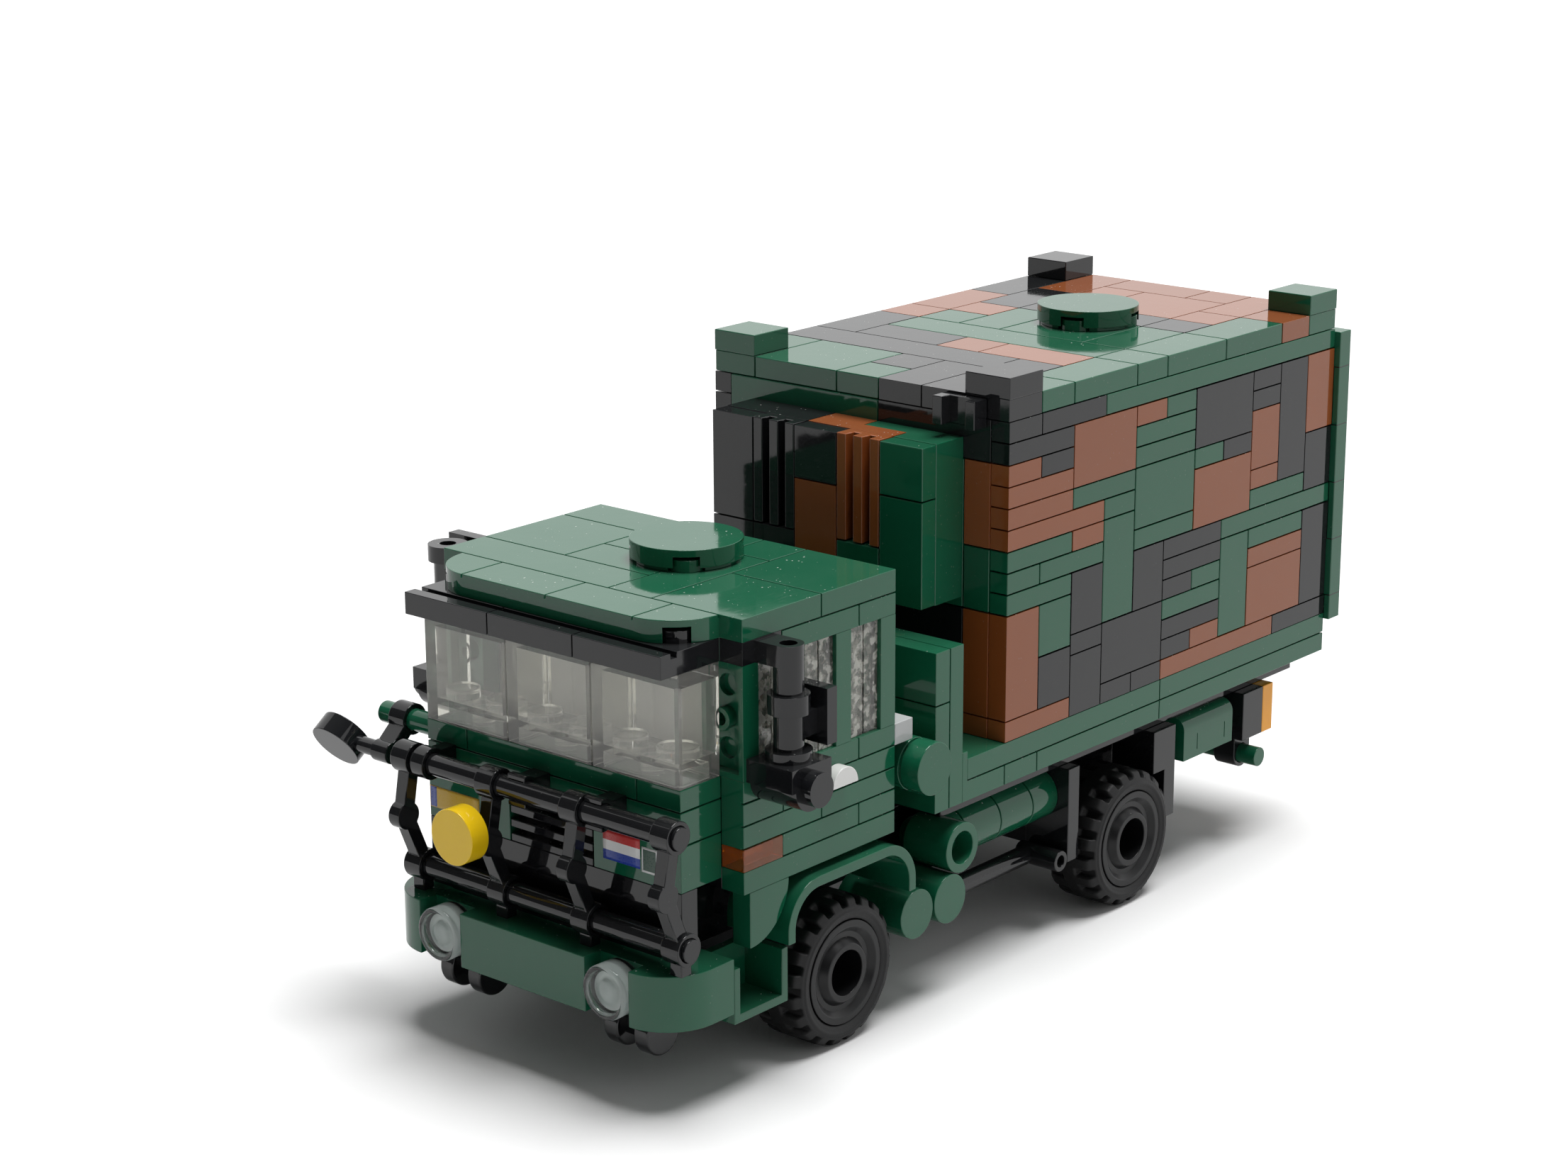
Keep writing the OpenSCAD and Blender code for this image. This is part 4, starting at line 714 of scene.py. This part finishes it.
@dataclass
class Headlamps:
    """The round clear lamps: each a lens with a raised rim on its face, and a pale back inside it."""

    finishes: Finishes
    drawn_radius: float = 3.9 * MM
    drawn_depth: float = 3.8 * MM
    steps: int = 72

    def build(self) -> None:
        """Make both lenses as one piece and their backs as another, and dress them."""
        hole = AXIS_HOLE / MM
        lens = np.array([[hole, 0.9], [0.55, 0.86], [1.1, 0.74], [1.5, 0.72], [1.62, 0.88], [2.4, 0.86],
                         [2.95, 0.80], [3.08, 0.62], [3.14, 0.18], [3.3, 0.04], [3.55, 0.0], [3.78, 0.08],
                         [3.9, 0.3], [3.9, 1.2], [3.9, 3.4], [3.8, 3.8], [2.6, 3.8], [hole, 3.8]]) * MM
        back = np.array([[hole, 1.9], [1.4, 1.9], [1.5, 1.7], [2.3, 1.7], [2.4, 1.9], [3.0, 1.95], [3.1, 2.2],
                         [3.1, 3.3], [2.8, 3.5], [hole, 3.5]]) * MM
        lenses, backs = self.turned("headlamp_lenses", lens), self.turned("headlamp_backs", back)
        dress(lenses, self.finishes.of("headlamps", Slot.CLEAR), Slot.CLEAR, "truck", "headlamps")
        dress(backs, self.finishes.of("headlamp_backs", Slot.CLEAR), Slot.CLEAR, "truck")

    def turned(self, name: str, outline: np.ndarray) -> bpy.types.Object:
        """Carry an outline round the axis of each lamp.

        Args:
            name: the piece's name.
            outline: rows of distance from the axis and depth behind the face, on a lamp of the drawn size.

        Returns:
            The new piece, with a turned solid for each lamp.
        """
        low, high = box("headlamps")
        middles, radius = lamp_middles()
        out = outline[:, 0] * radius / self.drawn_radius
        depth = outline[:, 1] * (high[1] - low[1]) / self.drawn_depth
        angle = (FULL_TURN * np.arange(self.steps) / self.steps)[:, None]
        y = np.broadcast_to(low[1] + depth, (self.steps, len(outline)))
        z = low[2] + radius + out * np.sin(angle)
        lamps = [np.stack([middle + out * np.cos(angle), y, z], axis=-1) for middle in middles]
        return repeated_object(name, lamps, grid_faces(self.steps, len(outline), wrap_rows=True)[:, ::-1])


@dataclass
class TowLugs:
    """The round lugs under the headlamps: a disc on either side of each tow eye."""

    finishes: Finishes
    eye_radius: float = 2.6 * MM
    radius: float = 3.3 * MM
    width: float = 2.5 * MM
    spread: float = 2.75 * MM
    forward: float = 1.2 * MM
    drop: float = 0.4 * MM
    ease: float = 0.25 * MM
    ease_hold_share: float = 1.3
    ease_middle_share: float = 0.3
    steps: int = 64

    def build(self) -> bpy.types.Object:
        """Make all four discs as one piece and dress it.

        A profile is carried round an axle along X: out from the middle of one face, over the eased rim and back to
        the middle of the other face.

        Returns:
            The new piece.
        """
        _, y, z = box("valance")[0] + self.eye_radius - (0.0, self.forward, self.drop)
        along, out = self.profile()
        angle = (FULL_TURN * np.arange(self.steps) / self.steps)[:, None]
        upright = y + out * np.sin(angle), z - out * np.cos(angle)
        discs = [np.stack([np.broadcast_to(middle + side + along, upright[0].shape), *upright], axis=-1)
                 for middle in lamp_middles()[0] for side in (-self.spread, self.spread)]
        piece = repeated_object("tow_lugs", discs, grid_faces(self.steps, len(along), wrap_rows=True))
        dress(piece, self.finishes.of("tow_lugs", Slot.BLACK), Slot.BLACK, "truck")
        return piece

    def profile(self) -> tuple[np.ndarray, np.ndarray]:
        """A disc's outline: distances along the axle from its middle, and distances from the axle."""
        hold, middle = self.ease_hold_share * self.ease, self.ease_middle_share * self.ease
        side = np.array([[0.0, self.radius - AXIS_HOLE], [0.0, hold], [0.0, self.ease], [middle, middle],
                         [self.ease, 0.0], [hold, 0.0]]) * (1.0, -1.0) + (-self.width / 2.0, self.radius)
        outline = np.concatenate([side, side[::-1] * (-1.0, 1.0)])
        return outline[:, 0], outline[:, 1]


@dataclass
class SeatBack:
    """The pale seat back that shows through the windscreen: one sheet with three cushions."""

    finishes: Finishes
    seats: int = 3
    setback: float = 3.8 * MM
    inset: float = 0.7 * MM
    rise_share: float = 0.01
    bulge: float = 1.2 * MM
    bulge_power: int = 6
    thickness: float = 1.0 * MM
    steps: int = 25
    last_seat_share: float = 0.999999

    def build(self) -> bpy.types.Object:
        """Make the sheet and dress it.

        Across each seat and up its height a place runs from -1 to 1, and the sheet comes forward by the bulge
        times one less the sixth power of each place.

        Returns:
            The new piece.
        """
        low, high = box("windscreen")
        u, v = unit_grid(self.seats * self.steps, self.steps)
        across = 2.0 * np.modf(u * self.seats * self.last_seat_share)[0] - 1.0
        up = 2.0 * v - 1.0
        cushion = (1.0 - across ** self.bulge_power) * (1.0 - up ** self.bulge_power)
        x = low[0] + self.inset + (high[0] - low[0] - 2.0 * self.inset) * u
        y = high[1] + self.setback + self.bulge * (1.0 - cushion)
        z = low[2] + (high[2] - low[2]) * (self.rise_share + (1.0 - 2.0 * self.rise_share) * v)
        piece = surface_object("seat_back", np.stack([x, y, z], axis=-1), grid_faces(*u.shape))
        thicken(piece, self.thickness)
        dress(piece, self.finishes.of("seat_back", Slot.GREY), Slot.GREY, "truck")
        return piece


@dataclass(frozen=True)
class Patch:
    """A flat printed patch on the nose: its span in X and Z."""

    name: str
    x: Span
    z: Span
    slot: Slot
    finish: Print


@dataclass
class NosePrints:
    """The printed patches on the front of the nose, each a thin sheet with eased edges."""

    patches: tuple[Patch, ...]
    lift: float = 0.02 * MM
    thickness: float = 0.05 * MM
    edge_share: float = 0.3
    steps: int = 9

    def build(self) -> None:
        """Make every patch as a grid on the nose's front face that bends back at its edges."""
        face_y = box("cab_nose")[0][1]
        u, v = unit_grid(self.steps, self.steps)
        edge = (np.minimum(u, v) == 0.0) | (np.maximum(u, v) == 1.0)
        y = face_y - self.lift - self.thickness * np.where(edge, self.edge_share, 1.0)
        for patch in self.patches:
            x = patch.x[0] + (patch.x[1] - patch.x[0]) * u
            z = patch.z[0] + (patch.z[1] - patch.z[0]) * v
            piece = surface_object(patch.name, np.stack([x, y, z], axis=-1), grid_faces(*u.shape),
                                   np.stack([u, v], axis=-1))
            thicken(piece, self.thickness)
            dress(piece, patch.finish.material(), patch.slot, "truck")


@dataclass
class Studio:
    """White paper and curtain in a dimmer room, a soft light over the truck and the photograph's camera."""

    floor_reach: float = 3.0
    floor_points: int = 5
    room_light: float = 0.09
    curtain_light: float = 0.52
    curtain_reach: float = 2.4
    curtain_rise: float = 2.6
    curtain_turn: Span = (-0.52, 3.60)
    curtain_points: tuple[int, int] = (65, 5)
    sun_from: Place = (0.06, 0.18, 1.0)
    sun_light: float = 3.8
    sun_spread: float = 0.62
    camera_at: Place = (0.29743, -0.36521, 0.18618)
    camera_right: Place = (0.75917876, 0.65086784, -0.00432016)
    camera_up: Place = (-0.17592885, 0.21158646, 0.96139493)
    camera_near: float = 0.01
    lens: float = 73.81
    sensor: float = 36.0

    def build(self) -> None:
        """Make the floor, the curtain, the room, the light and the camera."""
        self.floor()
        self.curtain()
        self.room()
        self.overhead_light()
        self.camera()
        bpy.context.scene.view_settings.view_transform = "Standard"

    def floor(self) -> None:
        """Lay the floor as a flat grid at height zero."""
        u, v = unit_grid(self.floor_points, self.floor_points)
        points = np.stack([2.0 * u - 1.0, 2.0 * v - 1.0, np.zeros_like(u)], axis=-1) * self.floor_reach
        piece = surface_object("floor", points, grid_faces(*u.shape))
        piece.data.materials.append(PaperFloor().material())

    def curtain(self) -> None:
        """Hang the curtain: a round of the reach about the truck, carried straight up to its height."""
        u, v = unit_grid(*self.curtain_points)
        turn = self.curtain_turn[0] + (self.curtain_turn[1] - self.curtain_turn[0]) * u
        points = np.stack([self.curtain_reach * np.cos(turn), self.curtain_reach * np.sin(turn),
                           self.curtain_rise * v], axis=-1)
        piece = surface_object("curtain", points, grid_faces(*u.shape))
        piece.data.materials.append(WhiteCurtain(self.curtain_light).material())
        piece.visible_shadow = False

    def room(self) -> None:
        """Light dimly and evenly from all round, and show plain white to the eye and through clear pieces."""
        t = NodeTree(bpy.data.worlds.new("white_room"))
        path = t.add("LightPath").outputs
        seen = t.math("MAXIMUM", path["Is Camera Ray"], path["Is Transmission Ray"])
        dim = t.add("Background", {"Color": rgba(WHITE), "Strength": self.room_light}).outputs[0]
        plain = t.add("Background", {"Color": rgba(WHITE), "Strength": 1.0}).outputs[0]
        bpy.context.scene.world = t.finish(t.add("MixShader", {0: seen, 1: dim, 2: plain}).outputs[0])

    def overhead_light(self) -> None:
        """Light the truck from above and a little behind, as one wide soft source far away."""
        light = bpy.data.lights.new("overhead_light", "SUN")
        light.energy = self.sun_light
        light.angle = self.sun_spread
        lamp = bpy.data.objects.new("overhead_light", light)
        lamp.rotation_euler = Vector(self.sun_from).to_track_quat("Z", "Y").to_euler()
        bpy.context.scene.collection.objects.link(lamp)

    def camera(self) -> None:
        """Stand the camera where the photograph was taken from."""
        data = bpy.data.cameras.new("camera")
        data.lens = self.lens
        data.sensor_width = self.sensor
        data.sensor_fit = "HORIZONTAL"
        data.clip_start = self.camera_near
        right, up = Vector(self.camera_right), Vector(self.camera_up)
        turn = Matrix((right, up, right.cross(up))).transposed()
        camera = bpy.data.objects.new("camera", data)
        camera.matrix_world = Matrix.Translation(self.camera_at) @ turn.to_4x4()
        bpy.context.scene.collection.objects.link(camera)
        bpy.context.scene.camera = camera


@dataclass
class Truck:
    """The whole truck: moulded shells of its bricks, tyres, lamps, tow lugs, seat back and prints."""

    finishes: Finishes

    def build(self) -> None:
        """Make every piece in order."""
        self.shells()
        for corner in CORNERS:
            Tyre(self.finishes, corner).build()
        Headlamps(self.finishes).build()
        TowLugs(self.finishes).build()
        SeatBack(self.finishes).build()
        self.prints()

    def shells(self) -> None:
        """Copy and round every node that isn't made anew."""
        made_anew = {"headlamps", *("tyre_" + corner for corner in CORNERS)}
        record = frame["record"]
        slots = {part["node"]: Slot(part["material_slot"]) for part in record["subparts"]}
        shells = BrickShells(self.finishes)
        for body, nodes in record["behaviour"]["bodies"].items():
            for node in nodes:
                if node not in made_anew:
                    shells.build(node, slots[node], body)

    def prints(self) -> None:
        """Put the striped patch, the outlined sign and the number plate on the nose."""
        red, white, blue = (0.60, 0.02, 0.02), (0.92, 0.92, 0.92), (0.01, 0.05, 0.40)
        yellow, ochre, dark_green = (0.80, 0.50, 0.03), (0.62, 0.38, 0.05), (0.006, 0.060, 0.032)
        stripes = Print("striped_print", ((0.0, blue), (1.0 / 3.0, white), (2.0 / 3.0, red)), upright=True)
        outline = Print("outlined_print", ((0.0, dark_green),), upright=True, frame_share=(0.10, 0.085),
                        frame_colour=white)
        plate = Print("plate_print", ((0.0, blue), (0.14, yellow)), upright=False, frame_share=(0.012, 0.04),
                      frame_colour=ochre)
        NosePrints((
            Patch("striped_patch", x=(13.85 * MM, 20.65 * MM), z=(32.15 * MM, 36.4 * MM), slot=Slot.WHITE,
                  finish=stripes),
            Patch("outlined_sign", x=(20.95 * MM, 23.85 * MM), z=(31.9 * MM, 35.5 * MM), slot=Slot.WHITE,
                  finish=outline),
            Patch("number_plate", x=(-19.85 * MM, -9.95 * MM), z=(31.8 * MM, 35.0 * MM), slot=Slot.YELLOW,
                  finish=plate),
        )).build()


def main() -> None:
    """Build the truck and its studio, in order."""
    logging.basicConfig(level=logging.INFO, format="%(name)s: %(message)s")
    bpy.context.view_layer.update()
    Truck(Finishes()).build()
    Studio().build()
    bpy.context.view_layer.update()


if __name__ == "__main__":
    main()
